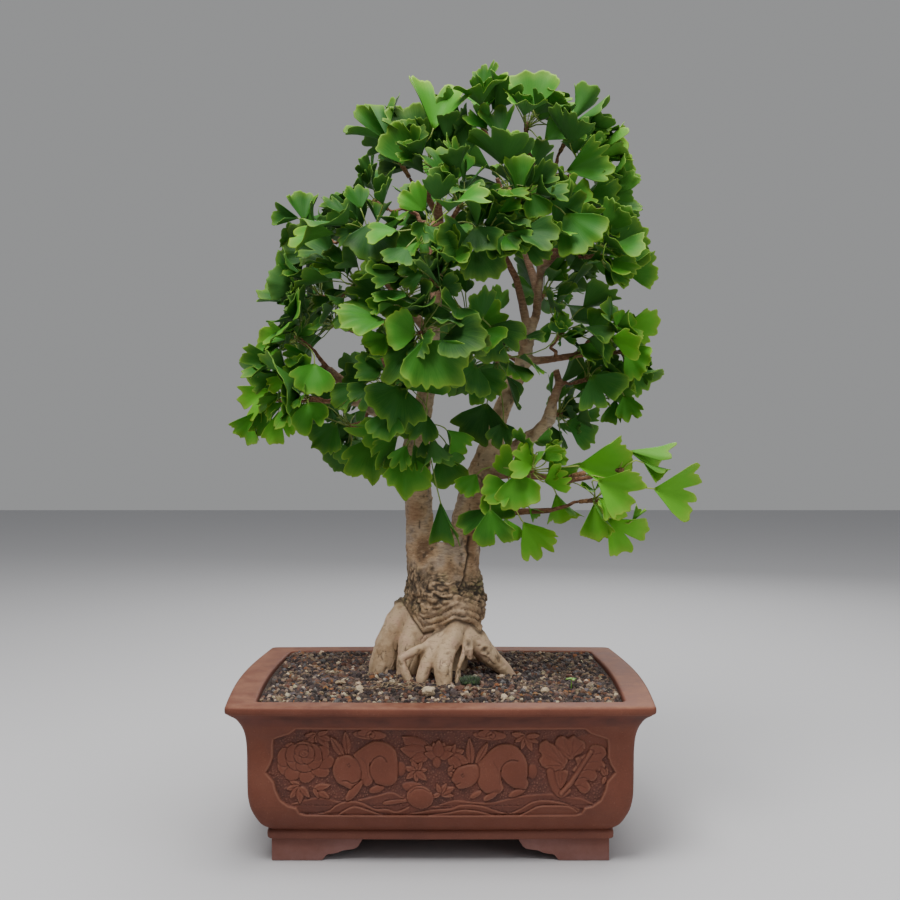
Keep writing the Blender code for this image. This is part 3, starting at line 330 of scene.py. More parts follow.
class Blade:
    """A leaf blade as the frame has it: where it starts and ends, its upper side, and how open it is."""

    def __init__(self, pairs):
        middles = [(a + b) / 2 for a, b in pairs]
        closest = min(
            ((i, j) for i in range(len(pairs)) for j in range(i)),
            key=lambda ij: (middles[ij[0]] - middles[ij[1]]).length,
        )
        self.base = (middles[closest[0]] + middles[closest[1]]) / 2
        rest = [m for k, m in enumerate(middles) if k not in closest]
        towards = (sum(rest, Vector()) / 4 - self.base).normalized()
        rest.sort(key=lambda m: (m - self.base).dot(towards))
        middle, end = (rest[0] + rest[1]) / 2, (rest[2] + rest[3]) / 2
        self.length = (end - self.base).length
        self.along = (end - self.base) / self.length
        across = rest[0] - rest[1]
        self.openness = across.length / 2 / (0.8 * self.length)
        across = (across - self.along * across.dot(self.along)).normalized()
        normal = across.cross(self.along)
        if (middle - (self.base + end) / 2).dot(normal) > 0:
            normal.negate()
        self.normal = normal
        self.across = self.along.cross(normal)
        self.middle = self.base.lerp(end, 0.6)


def read_spray(obj):
    """The blades of a spray's CAD solid, and its twig's foot and direction."""
    bm = bmesh.new()
    bm.from_mesh(obj.data)
    bmesh.ops.remove_doubles(bm, verts=bm.verts, dist=2e-5)
    short = [e for e in bm.edges if SHORT_EDGE[0] < e.calc_length() < SHORT_EDGE[1]]
    marked = {v for e in short for v in e.verts}
    partner = {}
    for e in short:
        for v in e.verts:
            partner.setdefault(v, []).append(e.other_vert(v))
    groups = []
    left = set(marked)
    while left:
        stack = [left.pop()]
        group = set(stack)
        while stack:
            for e in stack.pop().link_edges:
                for v in e.verts:
                    if v in left:
                        left.discard(v)
                        group.add(v)
                        stack.append(v)
        groups.append(group)
    blades = []
    whole = [group for group in groups if len(group) == BLADE_CORNERS]
    for group in sorted(whole, key=lambda g: min(tuple(v.co) for v in g)):
        pairs = []
        seen = set()
        for v in sorted(group, key=lambda v: tuple(v.co)):
            if v not in seen:
                other = partner[v][0]
                seen |= {v, other}
                pairs.append((v.co.copy(), other.co.copy()))
        blades.append(Blade(pairs))
    twig = np.array([v.co for v in bm.verts if v not in marked])
    bm.free()
    centre = twig.mean(0)
    _, _, axes = np.linalg.svd(twig - centre)
    axis = axes[0]
    reach = (twig - centre) @ axis
    spread = np.linalg.norm(twig - centre - np.outer(reach, axis), axis=1)
    if spread[reach > reach.max() - 1e-3].mean() > spread[reach < reach.min() + 1e-3].mean():
        axis, reach = -axis, -reach
    foot = centre + axis * reach.min()
    return blades, Vector(foot), Vector(axis)


# The waves in a blade, from broad to fine: least and most swing, how it grows with the reach, and the slowest
# and fastest beat
BLADE_WAVES = ((0.05, 0.13, 2, 2.0, 4.2), (0.03, 0.075, 3, 6, 10), (0.008, 0.02, 4, 14, 18))


def blade_places(blade, seed):
    """Where the fan's points come to lie: rolled into part of a cone, then waved and curled."""
    draw = random.Random(seed)
    openness = min(max(blade.openness, 0.3), draw.uniform(0.8, 0.98))
    half_angle = draw.uniform(0.76, 1.16)
    slope = math.asin(min(max(0.97 * openness, 0.34), 0.97))
    half_angle = min(half_angle, 2.75 * math.sin(slope))
    u = fan_turn
    turn = u * half_angle
    edge = 1.0 - draw.uniform(0.08, 0.22) * np.abs(u) ** 2.4
    edge *= 1 - 0.22 * smoothstep(0.86, 1.0, np.abs(u)) ** 1.5
    lobes = draw.randint(5, 9)
    for k in range(lobes):
        heart = -0.98 + 1.96 * (k + draw.uniform(0.25, 0.75)) / lobes
        wide = 1.96 / lobes * draw.uniform(0.5, 0.8)
        lobe = np.clip(1 - np.abs(u - heart) / wide, 0, 1)
        edge += draw.uniform(0.04, 0.17) * lobe ** draw.uniform(0.6, 1.1)
    cleft = draw.choice((0.0, 0.08, 0.16, 0.26, 0.38, 0.5))
    cleft_at = draw.gauss(0, 0.09)
    edge -= cleft * np.exp(-(((u - cleft_at) / draw.uniform(0.05, 0.11)) ** 2))
    for side in (-1, 1):
        edge -= draw.uniform(0.0, 0.2) * np.exp(-(((u - side * draw.uniform(0.35, 0.65)) / 0.06) ** 2))
    edge += np.interp(u, np.linspace(-1, 1, 29), [draw.gauss(0, 0.016) for _ in range(29)])
    reach = fan_reach * (1 + (edge - 1) * fan_reach ** 1.5)

    roll = turn / math.sin(slope)
    tilt_share = math.sin(slope) * math.cos(slope)
    mid_lift = tilt_share * (1 - math.sin(roll.max()) / roll.max())
    mid_run = math.cos(slope) ** 2 + math.sin(slope) ** 2 * math.sin(roll.max()) / roll.max()
    x = math.sin(slope) * np.sin(roll)
    y = math.cos(slope) ** 2 + math.sin(slope) ** 2 * np.cos(roll)
    z = tilt_share * (1 - np.cos(roll))
    lean = -math.atan2(mid_lift, mid_run) * 0.9
    y, z = y * math.cos(lean) - z * math.sin(lean), y * math.sin(lean) + z * math.cos(lean)

    bend = np.zeros(len(u))
    for least, most, power, slowest, fastest in BLADE_WAVES:
        swing = draw.uniform(least, most) * reach ** power
        bend += swing * np.sin(draw.uniform(slowest, fastest) * u + draw.uniform(0, WHOLE_TURN))
    bend += draw.uniform(-0.17, 0.1) * (reach ** 2.2 - reach)
    curl = draw.uniform(-0.2, 0.09) * smoothstep(0.72, 1.05, reach)
    bend += curl * (0.6 + 0.4 * np.sin(draw.uniform(2, 5) * u + draw.uniform(0, WHOLE_TURN)))
    side_out = -np.sin(roll) * math.cos(slope)
    x = x * reach + bend * side_out * 0.7
    y = y * reach
    z = z * reach + bend * (0.35 + 0.65 * np.abs(np.cos(roll)))
    size = blade.length * draw.uniform(0.86, 1.03)
    return (
        np.array(blade.base)[None, :]
        + size * (np.outer(x, blade.across) + np.outer(y, blade.along) + np.outer(z, blade.normal))
    )


def add_tube(bm, points, radii, sides, index):
    """A closed tube through points, grown by extruding its first cap."""
    made = bmesh.ops.create_circle(bm, cap_ends=True, segments=sides, radius=1.0)
    ring = made["verts"]
    shape = [v.co.copy() for v in ring]
    cap = ring[0].link_faces[0]
    cap.material_index = index
    along = (points[1] - points[0]).normalized()
    turn = Vector((0, 0, 1)).rotation_difference(along)
    verts = ring
    faces = [cap]
    for i, (point, radius) in enumerate(zip(points, radii)):
        if i:
            after = points[min(i + 1, len(points) - 1)]
            ahead = (after - points[i - 1]).normalized()
            turn = along.rotation_difference(ahead) @ turn
            along = ahead
            grown = bmesh.ops.extrude_face_region(bm, geom=[cap, *cap.edges])["geom"]
            cap = of_kind(grown, FACE)[0]
            verts = [loop.vert for loop in cap.loops]
            faces += [f for v in verts for f in v.link_faces]
            order = [min(range(sides), key=lambda k: (v.co - placed[k]).length_squared) for v in verts]
        else:
            order = list(range(sides))
        placed = [point + turn @ (shape[k] * radius) for k in range(sides)]
        for v, k in zip(verts, order):
            v.co = placed[k]
    walls = {face for face in faces if face.is_valid}
    for face in walls:
        face.material_index = index
    return walls


def curved(start, start_way, end, end_way, count):
    """Points of a smooth arc between two ends."""
    pull = (end - start).length * 0.38
    a, b, c, d = start, start + start_way * pull, end - end_way * pull, end
    result = []
    for i in range(count):
        t = i / (count - 1)
        result.append(a * (1 - t) ** 3 + b * 3 * t * (1 - t) ** 2 + c * 3 * t * t * (1 - t) + d * t ** 3)
    return result


def shaded_blades(blades, hub, axis, low, high, number):
    """Smaller leaves close round the spur, in the gaps between the others."""
    draw = random.Random(number + SHADED_SEED)
    made = []
    for blade in [*blades[:6], *blades[:2]]:
        turn = Quaternion(axis, draw.uniform(0.6, 5.6))
        share = draw.uniform(0.56, 0.86)
        inner = copy.copy(blade)
        inner.base = hub + turn @ (blade.base - hub) * share
        inner.along, inner.normal, inner.across = turn @ blade.along, turn @ blade.normal, turn @ blade.across
        inner.length = blade.length * share
        inner.middle = inner.base + inner.along * inner.length * 0.6
        tip = inner.base + inner.along * inner.length * 1.08
        over_stems = abs(tip.x - pot_x - STEMS_MIDDLE) < STEMS_HALF and STEMS_LOW < tip.z < STEMS_HIGH
        held = all(low[k] + SHADED_INSET < tip[k] < high[k] - SHADED_INSET for k in range(3))
        if held and not (over_stems and tip.y < pot_y):
            made.append(inner)
    return made


def add_spur(bm, foot, top, axis):
    """The short ringed spur that the leaves grow from."""
    knots = []
    radii = []
    for k in range(SPUR_KNOTS):
        share = k / (SPUR_KNOTS - 1)
        knots.append(foot.lerp(top, share) - axis * 0.3 * MM * (k == 0))
        radii.append((2.35 + 0.75 * share + (0.35 if k % 2 else -0.15) if k else 2.3) * MM)
    radii[-1] = 1.1 * MM
    add_tube(bm, knots, radii, 8, 2)


def make_spray(name, obj, materials):
    """A spur with its curved stalks and fan-shaped leaves, in place of a spray of the CAD."""
    blades, foot, axis = read_spray(obj)
    hub = foot + axis * TWIG_LENGTH
    number = int(name.rsplit("_", 1)[1])
    corners = np.array([v.co for v in obj.data.vertices])
    blades += shaded_blades(blades, hub, axis, corners.min(0), corners.max(0), number)
    bm = bmesh.new()
    uv = bm.loops.layers.uv.new("blade")
    tone_layer = bm.verts.layers.float_color.new("tone")
    starts = []
    for index, blade in enumerate(blades):
        first = len(bm.verts)
        bm.from_mesh(fan_mesh)
        bm.verts.ensure_lookup_table()
        places = with_thickness(blade_places(blade, number * SPRAY_SEEDS + index))
        tone = leaf_tone(blade, number * SPRAY_SEEDS + index)
        for k in range(len(places)):
            vert = bm.verts[first + k]
            vert.co = places[k]
            vert[tone_layer] = (*tone[:3], float(fan_under[k]))
            for loop in vert.link_loops:
                loop[uv].uv = (fan_turn[k] * 0.5 + 0.5, fan_reach[k])
        starts.append(Vector(places[np.argmin(fan_reach + 0.01 * np.abs(fan_turn))]))
    for index, blade in enumerate(blades):
        draw = random.Random(number * SPRAY_SEEDS + index + STALK_SEED)
        way = (blade.base - hub).normalized()
        tone = leaf_tone(blade, number * SPRAY_SEEDS + index)
        points = curved(
            hub + way * 1.5 * MM, (way + axis * 0.5).normalized(), starts[index] + blade.along * 1.0 * MM,
            blade.along, len(STALK_RADII),
        )
        side = way.cross(blade.along)
        if side.length > 0.05:
            points = [p + side.normalized() * 0.4 * MM * math.sin(k) for k, p in enumerate(points)]
        own = draw.random()
        for face in add_tube(bm, points, STALK_RADII, 6, 1):
            for v in face.verts:
                v[tone_layer] = (tone[0], tone[1], own, 0.0)
    add_spur(bm, foot, hub + axis * BUD_LENGTH, axis)
    finish_mesh(name, made_mesh(name, bm), materials, "ginkgo_leaf", obj.name)


def leaf_tone(blade, seed):
    """How yellow and how light a leaf is: young tips are lime, the others deep green, and those in the
    crown's core are painted darker and less yellow, a painted shade.
    """
    draw = random.Random(seed + TONE_SEED)
    place = blade.middle
    x, z = place.x - pot_x, place.z
    young = 0.27
    young += 0.7 * smoothstep(0.0, 0.13, x) * smoothstep(0.475, 0.435, z)
    young += 0.4 * math.exp(-(((x + 0.035) / 0.025) ** 2 + ((z - 0.415) / 0.03) ** 2))
    young += 0.45 * smoothstep(-0.12, -0.2, x) * smoothstep(0.62, 0.52, z)
    young += 0.35 * smoothstep(0.16, 0.24, x)
    young += 0.22 * smoothstep(0.80, 0.88, z)
    # Leaves near the crown's core are made darker and less yellow: painted shade where the crown shades
    # itself.
    inside = math.exp(-((x / 0.11) ** 2 + (place.y / 0.08) ** 2 + ((z - 0.6) / 0.16) ** 2))
    young = float(young) + draw.gauss(0, 0.17) - 0.12 * inside
    light = 0.58 + draw.gauss(0, 0.16) - 0.2 * inside
    return (min(max(young, 0.0), 1.0), min(max(light, 0.0), 1.0), draw.random(), 0.0)


def leaf_material():
    made, tree, shader = material("leaf_green", 0.60)
    young, light, own, under = channels(tree, "tone")
    uv = tree.nodes.new("ShaderNodeUVMap")
    uv.uv_map = "blade"
    split = tree.nodes.new("ShaderNodeSeparateXYZ")
    link(tree, uv.outputs["UV"], split.inputs[0])
    turn, reach = split.outputs[0], split.outputs[1]
    body = ramp(tree, young, (
        (0.0, (0.0055, 0.046, 0.0070)), (0.3, (0.0135, 0.105, 0.0090)), (0.65, (0.050, 0.240, 0.0120)),
        (1.0, (0.110, 0.365, 0.0150)),
    ))
    lightness = shares(tree, light, (0.0, 0.62), (0.5, 1.0), (1.0, 1.45))
    body = mix(tree, 1.0, body, lightness, "MULTIPLY")
    patches = noise_socket(tree, 95.0, 3.0)
    body = mix(tree, times(tree, patches, 0.25), body, (0.040, 0.150, 0.012))
    vein = node(tree, "ShaderNodeTexNoise", Scale=1.0, Detail=2.0)
    stretch = tree.nodes.new("ShaderNodeCombineXYZ")
    for index, (source, factor) in enumerate(((turn, 95.0), (reach, 2.2), (own, 40.0))):
        link(tree, times(tree, source, factor), stretch.inputs[index])
    link(tree, stretch.outputs[0], vein.inputs["Vector"])
    veins = shares(tree, vein.outputs["Fac"], (0.38, 0.0), (0.68, 1.0))
    body = mix(tree, times(tree, veins, 0.13), body, (0.13, 0.30, 0.035))
    fade = shares(tree, reach, (0.0, 0.5), (0.2, 0.0), (0.82, 0.0), (0.97, 0.20))
    body = mix(tree, fade, body, (0.14, 0.30, 0.025))
    margin = shares(tree, reach, (0.74, 0.0), (0.94, 0.28), (0.995, 0.78))
    vivid = shares(tree, young, (0.0, 0.22), (0.35, 0.52), (0.8, 1.0))
    body = mix(tree, mix(tree, 1.0, margin, vivid, "MULTIPLY"), body, (0.29, 0.45, 0.045))
    pale = mix(tree, 0.40, body, (0.065, 0.185, 0.040))
    dress(tree, shader, mix(tree, under, body, pale), bump(tree, vein.outputs["Fac"], 0.35, 0.0004))
    shader.inputs["Specular IOR Level"].default_value = 0.2
    return made


def stalk_material():
    made, tree, shader = material("leaf_stalk", 0.5)
    colour = ramp(tree, channels(tree, "tone")[0], ((0.0, (0.13, 0.24, 0.035)), (1.0, (0.30, 0.42, 0.07))))
    colour = mix(tree, times(tree, noise_socket(tree, 60.0), 0.4), colour, (0.26, 0.22, 0.05))
    link(tree, colour, shader.inputs["Base Color"])
    return made


def spur_material():
    made, tree, shader = material("spur_wood", 0.75)
    grain = noise_socket(tree, 420.0, 4.0)
    colour = ramp(tree, grain, (
        (0.3, (0.07, 0.03, 0.015)), (0.5, (0.22, 0.10, 0.045)), (0.7, (0.36, 0.22, 0.11)),
    ))
    dress(tree, shader, colour, bump(tree, grain, 0.6, 0.0008))
    return made


leaf_finishes = [leaf_material(), stalk_material(), spur_material()]
for cad_name, cad_node in sorted(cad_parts.items()):
    if cad_name.startswith("leaf_spray"):
        make_spray("leaves_" + cad_name.rsplit("_", 1)[1], cad_node, leaf_finishes)


def changed_mesh(mesh, kind, **settings):
    """The mesh as one modifier leaves it."""
    work = add_object("work", mesh)
    modifier = work.modifiers.new("change", kind)
    for name, value in settings.items():
        setattr(modifier, name, value)
    bpy.context.view_layer.update()
    made = bpy.data.meshes.new_from_object(work.evaluated_get(bpy.context.evaluated_depsgraph_get()))
    bpy.data.objects.remove(work)
    bpy.data.meshes.remove(mesh)
    return made


def merged_copy(name):
    """A CAD node's mesh with its loose triangles joined up."""
    bm = bmesh.new()
    bm.from_mesh(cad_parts[name].data)
    bmesh.ops.remove_doubles(bm, verts=bm.verts, dist=1e-5)
    return made_mesh(name, bm)


def normals_of(mesh):
    flat = np.empty(len(mesh.vertices) * 3, np.float32)
    mesh.vertex_normals.foreach_get("vector", flat)
    return flat.reshape(-1, 3).astype(float)


def relaxed(places, edges, share, rounds):
    """Moves each point towards the middle of its neighbours, by its own share, a number of times over."""
    first, second = edges.T
    count = np.bincount(edges.ravel(), minlength=len(places))[:, None]
    for _ in range(rounds):
        total = np.stack([
            np.bincount(first, column[second], len(places)) + np.bincount(second, column[first], len(places))
            for column in places.T
        ], axis=1)
        places = places + share[:, None] * (total / count - places)
    return places


def thickness_of(mesh, places, normals):
    """How thick the wood is under each point, in millimetres."""
    tree = BVHTree.FromPolygons(
        [v.co for v in mesh.vertices], [tuple(p.vertices) for p in mesh.polygons], epsilon=0.0
    )
    found = np.empty(len(places))
    for i, (place, normal) in enumerate(zip(places.tolist(), normals.tolist())):
        inward = Vector(normal)
        hit = tree.ray_cast(Vector(place) - inward * 0.0006, -inward, 0.2)[3]
        found[i] = (hit or 0.2) / MM
    return found


BARK_VOXEL = 1.35 * MM
BARK_TRIANGLES = 190000
# The most that the bark moves in and out from the CAD's shape, in millimetres
BARK_IN, BARK_OUT = -3.8, 3.2
# The lower edge of the rough bark in front, as (x, z) in millimetres, and its height behind
COLLAR_EDGE = (
    (-62, 274), (-46, 268), (-33, 248), (-20, 231), (0, 238), (16, 249), (34, 244), (48, 233), (62, 242),
)
COLLAR_BEHIND = 246
# Hollows in the roots and old branch scars, as (x, y, z, radius, depth) in millimetres
PITS = (
    (52, -36, 213, 3.4, 3.2), (56, -36, 209, 2.2, 1.6), (-45, -34, 226, 2.4, 1.6), (8, -66, 214, 2.0, 1.2),
    (33, -46, 222, 4.2, 2.2), (-34, -12, 352, 3.2, 1.6), (28, -22, 372, 3.0, 1.4), (2, -24, 345, 3.6, 1.6),
)
STEM_CRACK = ((34, 346), (32, 334), (33.5, 325), (31, 313), (29.5, 302), (26, 292), (22, 284))


def line_distance(x, y, points):
    """How far each place is from a line of points."""
    best = np.full(len(x), 1e9)
    for (ax, ay), (bx, by) in zip(points, points[1:]):
        dx, dy = bx - ax, by - ay
        t = np.clip(((x - ax) * dx + (y - ay) * dy) / (dx * dx + dy * dy), 0, 1)
        best = np.minimum(best, np.hypot(x - ax - t * dx, y - ay - t * dy))
    return best


def smooth_wood():
    """The CAD's wood as an even mesh, softened where it is thick, with its points and thickness at each."""
    mesh = changed_mesh(merged_copy("trunk"), "REMESH", mode="VOXEL", voxel_size=BARK_VOXEL)
    places = mesh_places(mesh)
    edges = mesh_edges(mesh)
    thick = thickness_of(mesh, places, normals_of(mesh))
    for _ in range(4):
        thick = (thick + np.bincount(edges[:, 0], thick[edges[:, 1]], len(thick))
                 + np.bincount(edges[:, 1], thick[edges[:, 0]], len(thick))) / (
                     1 + np.bincount(edges.ravel(), minlength=len(thick)))
    share = 0.5 * smoothstep(6, 26, thick) * np.where(places[:, 2] < 0.27, 0.55, 1.0)
    places = relaxed(places, edges, np.full(len(places), 0.25), 2)
    places = relaxed(places, edges, share, 18)
    move_mesh(mesh, places)
    return mesh, places, thick


def rough_bark(spots, low, front):
    """The collar's bark: how far it stands out, its edges, grain and folds, and where it drapes or leans."""
    x, _, z = spots.T
    leaning = smoothstep(-4, -22, x) * smoothstep(250, 262, z)
    torn = spots + 9 * (np.stack([waves(spots, 8, 42 + k, 3) for k in range(3)], axis=1) - 0.5)
    flat_edge, flat_own = plates(torn * (0.62, 0.62, 1.9), 11, 41)
    tall_edge, tall_own = plates(torn * (1.7, 1.7, 0.62), 11, 47)
    edge = flat_edge * (1 - leaning) + tall_edge * leaning
    own = flat_own * (1 - leaning) + tall_own * leaning
    grain = waves(torn * (0.8, 0.8, 1.6), 4.0, 51, 3) - 0.5
    layers = np.sin((z + 5 * (waves(spots, 18, 53) - 0.5) - 0.12 * x) / 1.15)
    bark = 1.9 * smoothstep(0.02, 0.26, edge) - 2.0 + 2.6 * own + 3.4 * grain
    bark += 0.55 * layers * smoothstep(282, 268, z) * smoothstep(-24, -8, x)
    drape = z - low + 7 * (waves(spots, 22, 55, 2) - 0.5) + 2.5 * (waves(spots, 6, 56) - 0.5)
    skirt = front * smoothstep(33, 21, drape) * (1 - leaning)
    fold = np.abs(np.sin(math.pi * drape / 8.5)) ** 0.6
    bark = bark * (1 - skirt) + (3.0 * fold - 1.7 + 2.2 * grain + 1.2 * (own - 0.5)) * skirt
    return bark, edge, grain, fold, skirt, leaning


def stains(spots, front, stem, collar):
    """Where the bark is orange, green, patched and bleached, each from 0 to 1."""
    x, _, z = spots.T
    orange = np.exp(-((x - 36) / 7) ** 2 - ((z - 352) / 18) ** 2) * front
    orange += 0.8 * np.exp(-((x - 14) / 13) ** 2 - ((z - 490) / 26) ** 2) * front
    orange += 0.6 * smoothstep(0.62, 0.8, waves(spots, 34, 91, 2)) * stem
    green = np.exp(-((x - 46) / 8) ** 2 - ((z - 286) / 7) ** 2)
    green += 0.8 * np.exp(-((x + 44) / 7) ** 2 - ((z - 272) / 16) ** 2)
    green += 0.55 * collar * smoothstep(0.55, 0.7, waves(spots, 15, 95, 2))
    upper = smoothstep(380, 470, z) * (1 - smoothstep(660, 740, z)) * (1 - smoothstep(-10, -60, x) * 0.7)
    return np.clip(orange, 0, 1), np.clip(green, 0, 1), waves(spots, 22, 97, 3), upper


def make_trunk():
    """The wood with its bark worked into the mesh: smooth roots and stems, a rough collar between them."""
    mesh, places, thick = smooth_wood()
    normals = normals_of(mesh)
    spots = (places - (pot_x, pot_y, 0)) / MM
    x, y, z = spots.T
    front = smoothstep(12, -8, y)
    low = front * np.interp(x, *zip(*COLLAR_EDGE)) + (1 - front) * (COLLAR_BEHIND + 9 * np.sin(x / 13))
    broken = waves(spots, 11, 3, 2) - 0.5
    core = np.hypot((x - 4) / 56, y / 50) < 1.25
    collar = smoothstep(low - 2.5, low + 2.5, z + 5 * broken)
    collar *= 1 - smoothstep(298, 318, z + 26 * broken + 9 * smoothstep(-10, 30, x) * front)
    collar *= core
    root = (1 - smoothstep(low - 3, low + 3, z + 5 * broken)) * (z < 285)
    young = (1 - smoothstep(6, 15, thick)) * smoothstep(330, 360, z)

    lumps = waves(spots * (1, 1, 0.5), 17, 5, 2) - 0.5
    wrinkles = waves(spots * (0.3, 0.3, 1.9), 7.5, 8, 2) - 0.5
    upright = waves(spots * (1.4, 1.4, 0.3), 8, 12, 2) - 0.5
    stem = (1 - collar) * (1 - root)
    lift = stem * (1 - young) * (3.0 * lumps + 2.0 * wrinkles + 1.5 * upright)
    lift += young * 0.5 * (waves(spots, 6, 21) - 0.5)
    lift += root * (2.0 * lumps + 1.8 * (waves(spots * (1.3, 1.3, 0.5), 9, 31, 3) - 0.5))
    split = plates(spots * (1.0, 1.0, 0.42) + 3.0 * (waves(spots, 7, 33, 2)[:, None] - 0.5), 10, 35)[0]
    split = np.exp(-((split / 0.05) ** 2)) * smoothstep(0.48, 0.62, waves(spots, 12, 37, 2)) * root
    lift -= 0.9 * split

    bark, edge, grain, fold, skirt, leaning = rough_bark(spots, low, front)
    lift += collar * (bark + 0.8)

    crack = line_distance(x + 2.0 * (waves(spots, 6, 61) - 0.5), z, STEM_CRACK)
    crack = np.where(y < 5, np.exp(-((crack / 1.5) ** 2)), 0.0)
    lift -= 3.0 * crack
    # The dark channel: the collar's cracks between plates, its low grain, the troughs of its folds, the
    # stem's crack, the roots' splits, the seam at the collar's edge, the pits and the hollows are painted
    # darker, a painted shade in these recesses; the streaks on the leaning bark are its own dark colour.
    dark_marks_and_shade = collar * smoothstep(0.26, 0.03, edge) * smoothstep(0.30, 0.62, waves(spots, 13, 71, 2) + 0.1)
    dark_marks_and_shade = np.maximum(dark_marks_and_shade, collar * smoothstep(-0.02, -0.24, grain) * 0.9) * (1 - 0.75 * skirt)
    seam = np.exp(-(((z + 5 * broken - low) / 2.4) ** 2)) * core * front
    streaks = smoothstep(0.45, 0.62, waves(spots * (1, 1, 0.7), 11, 73, 2))
    for mask in (
        collar * skirt * smoothstep(0.45, 0.12, fold) * smoothstep(0.3, 0.55, waves(spots, 14, 57)),
        collar * leaning * streaks * 0.75, crack, 0.75 * split, 0.75 * seam,
    ):
        dark_marks_and_shade = np.maximum(dark_marks_and_shade, mask)
    lift -= seam
    for px, py, pz, radius, depth in PITS:
        away = np.linalg.norm(spots - (px, py, pz), axis=1) / radius
        lift -= depth * np.exp(-away ** 2)
        lift += 0.5 * depth * np.exp(-((away - 1.5) / 0.5) ** 2)
        dark_marks_and_shade = np.maximum(dark_marks_and_shade, 0.9 * np.exp(-(away ** 2) * 1.3))
    hollow = smoothstep(0.64, 0.78, waves(spots * (1, 1, 0.8), 5, 81, 2))
    dark_marks_and_shade = np.maximum(dark_marks_and_shade, 0.7 * stem * (1 - young) * hollow)
    lift -= 0.8 * (1 - collar) * (1 - young) * hollow

    places = places + normals * (np.clip(lift, BARK_IN, BARK_OUT) * MM)[:, None]
    move_mesh(mesh, places)
    paint(mesh, "bark", collar * (1 - 0.35 * skirt), young, np.clip(dark_marks_and_shade, 0, 1), root)
    paint(mesh, "stain", *stains(spots, front, stem, collar))
    faces = 2 * len(mesh.polygons)
    if faces > BARK_TRIANGLES:
        mesh = changed_mesh(mesh, "DECIMATE", ratio=BARK_TRIANGLES / faces)
    mesh.name = "trunk_and_roots"
    mesh.materials.clear()
    finish_mesh("trunk_and_roots", mesh, [bark_material()], "bark", "trunk")


def bark_material():
    made, tree, shader = material("bark", 0.78)
    collar, young, dark_marks_and_shade, root = channels(tree, "bark")
    orange, green, patch, upper = channels(tree, "stain")
    stem = ramp(tree, patch, (
        (0.30, (0.19, 0.105, 0.050)), (0.42, (0.38, 0.235, 0.125)), (0.52, (0.50, 0.340, 0.200)),
        (0.62, (0.46, 0.350, 0.255)), (0.74, (0.27, 0.175, 0.110)),
    ))
    fine = noise_socket(tree, 260.0, 4.0, 0.65, stretch=(0.6, 0.6, 1.6))
    stem = mix(tree, shares(tree, fine, (0.35, 0.55), (0.52, 0.0)), stem, (0.115, 0.068, 0.038))
    stem = mix(tree, shares(tree, fine, (0.56, 0.0), (0.72, 0.6)), stem, (0.62, 0.46, 0.30))
    stem = mix(tree, times(tree, orange, 0.8), stem, (0.27, 0.125, 0.050))
    pale = shares(tree, noise_socket(tree, 70.0, 3.0, 0.6), (0.40, 0.10), (0.58, 0.72))
    stem = mix(tree, times(tree, upper, pale), stem, (0.54, 0.400, 0.260))
    roots = ramp(tree, noise_socket(tree, 55.0, 4.0), (
        (0.30, (0.36, 0.235, 0.130)), (0.5, (0.56, 0.410, 0.260)), (0.68, (0.56, 0.375, 0.260)),
    ))
    roots = mix(tree, shares(tree, fine, (0.30, 0.6), (0.44, 0.0)), roots, (0.20, 0.13, 0.075))
    plates_colour = ramp(tree, noise_socket(tree, 120.0, 4.0, 0.6), (
        (0.32, (0.100, 0.060, 0.030)), (0.46, (0.290, 0.190, 0.105)), (0.60, (0.50, 0.345, 0.200)),
        (0.74, (0.62, 0.440, 0.280)),
    ))
    twigs = ramp(tree, fine, (
        (0.32, (0.075, 0.028, 0.014)), (0.52, (0.20, 0.085, 0.040)), (0.72, (0.33, 0.19, 0.11)),
    ))
    colour = mix(tree, root, stem, roots)
    colour = mix(tree, collar, colour, plates_colour)
    colour = mix(tree, young, colour, twigs)
    algae = times(tree, green, shares(tree, fine, (0.42, 0.0), (0.60, 0.85)))
    colour = mix(tree, algae, colour, (0.17, 0.17, 0.055))
    # Painted shade in the bark's recesses, and its dark streaks, nearly black.
    colour = mix(tree, times(tree, dark_marks_and_shade, 0.93), colour, (0.020, 0.014, 0.010))
    coarse = bump(tree, noise_socket(tree, 420.0, 5.0, 0.7, stretch=(0.6, 0.6, 1.5)), 0.55, 0.0011)
    dress(tree, shader, colour, bump(tree, noise_socket(tree, 900.0, 3.0, 0.6), 0.4, 0.0005, coarse))
    return made


make_trunk()


# Half the rim's length and width, how far the long and short walls bow out, and the corners' radius, in mm
POT_HALF = (230, 180)
POT_BOW = (5, 10)
POT_CORNER = 7
# The outer face from the foot ring up over the lip, as (inset from the rim's edge, height) in millimetres
POT_FOOT_RING = (
    (52, 25.0), (42.2, 25.0), (40.9, 25.5), (40.1, 26.6), (40.0, 28.5), (39.8, 30.5), (40.0, 32.3),
    (40.6, 33.8), (41.9, 34.8), (42.6, 35.3),
)
POT_BELLY = (
    (42, 36.0), (37, 39.5), (31.5, 46), (24.5, 61), (21.6, 75), (21, 86), (20.7, 106), (20.5, 124),
    (19.3, 140), (16.2, 152), (10.5, 162), (4.4, 167.3),
)
POT_LIP = (
    (3.2, 168.3), (2.4, 169.2), (1.3, 169.9), (0.4, 170.8), (0.0, 172.0), (-0.1, 174.2), (0.0, 176.2),
    (0.5, 177.4), (1.4, 178.2), (2.6, 178.6), (8, 178.7), (15, 178.6), (22, 178.3), (26.6, 178.2),
    (28.2, 177.8), (29.2, 176.9), (29.6, 175.5), (30, 160), (30, 120), (30.4, 86), (33.5, 61), (38, 50.5),
    (43, 44.5), (48, 42.0), (60, 42.0),
)
# The bow fades to half from the rim down to the foot ring's inset
BOW_FADE = 43
DRAIN_X = 92
DRAIN_RADIUS = 11
DRILL_LENGTH = 60
DRILL_MIDDLE = 34


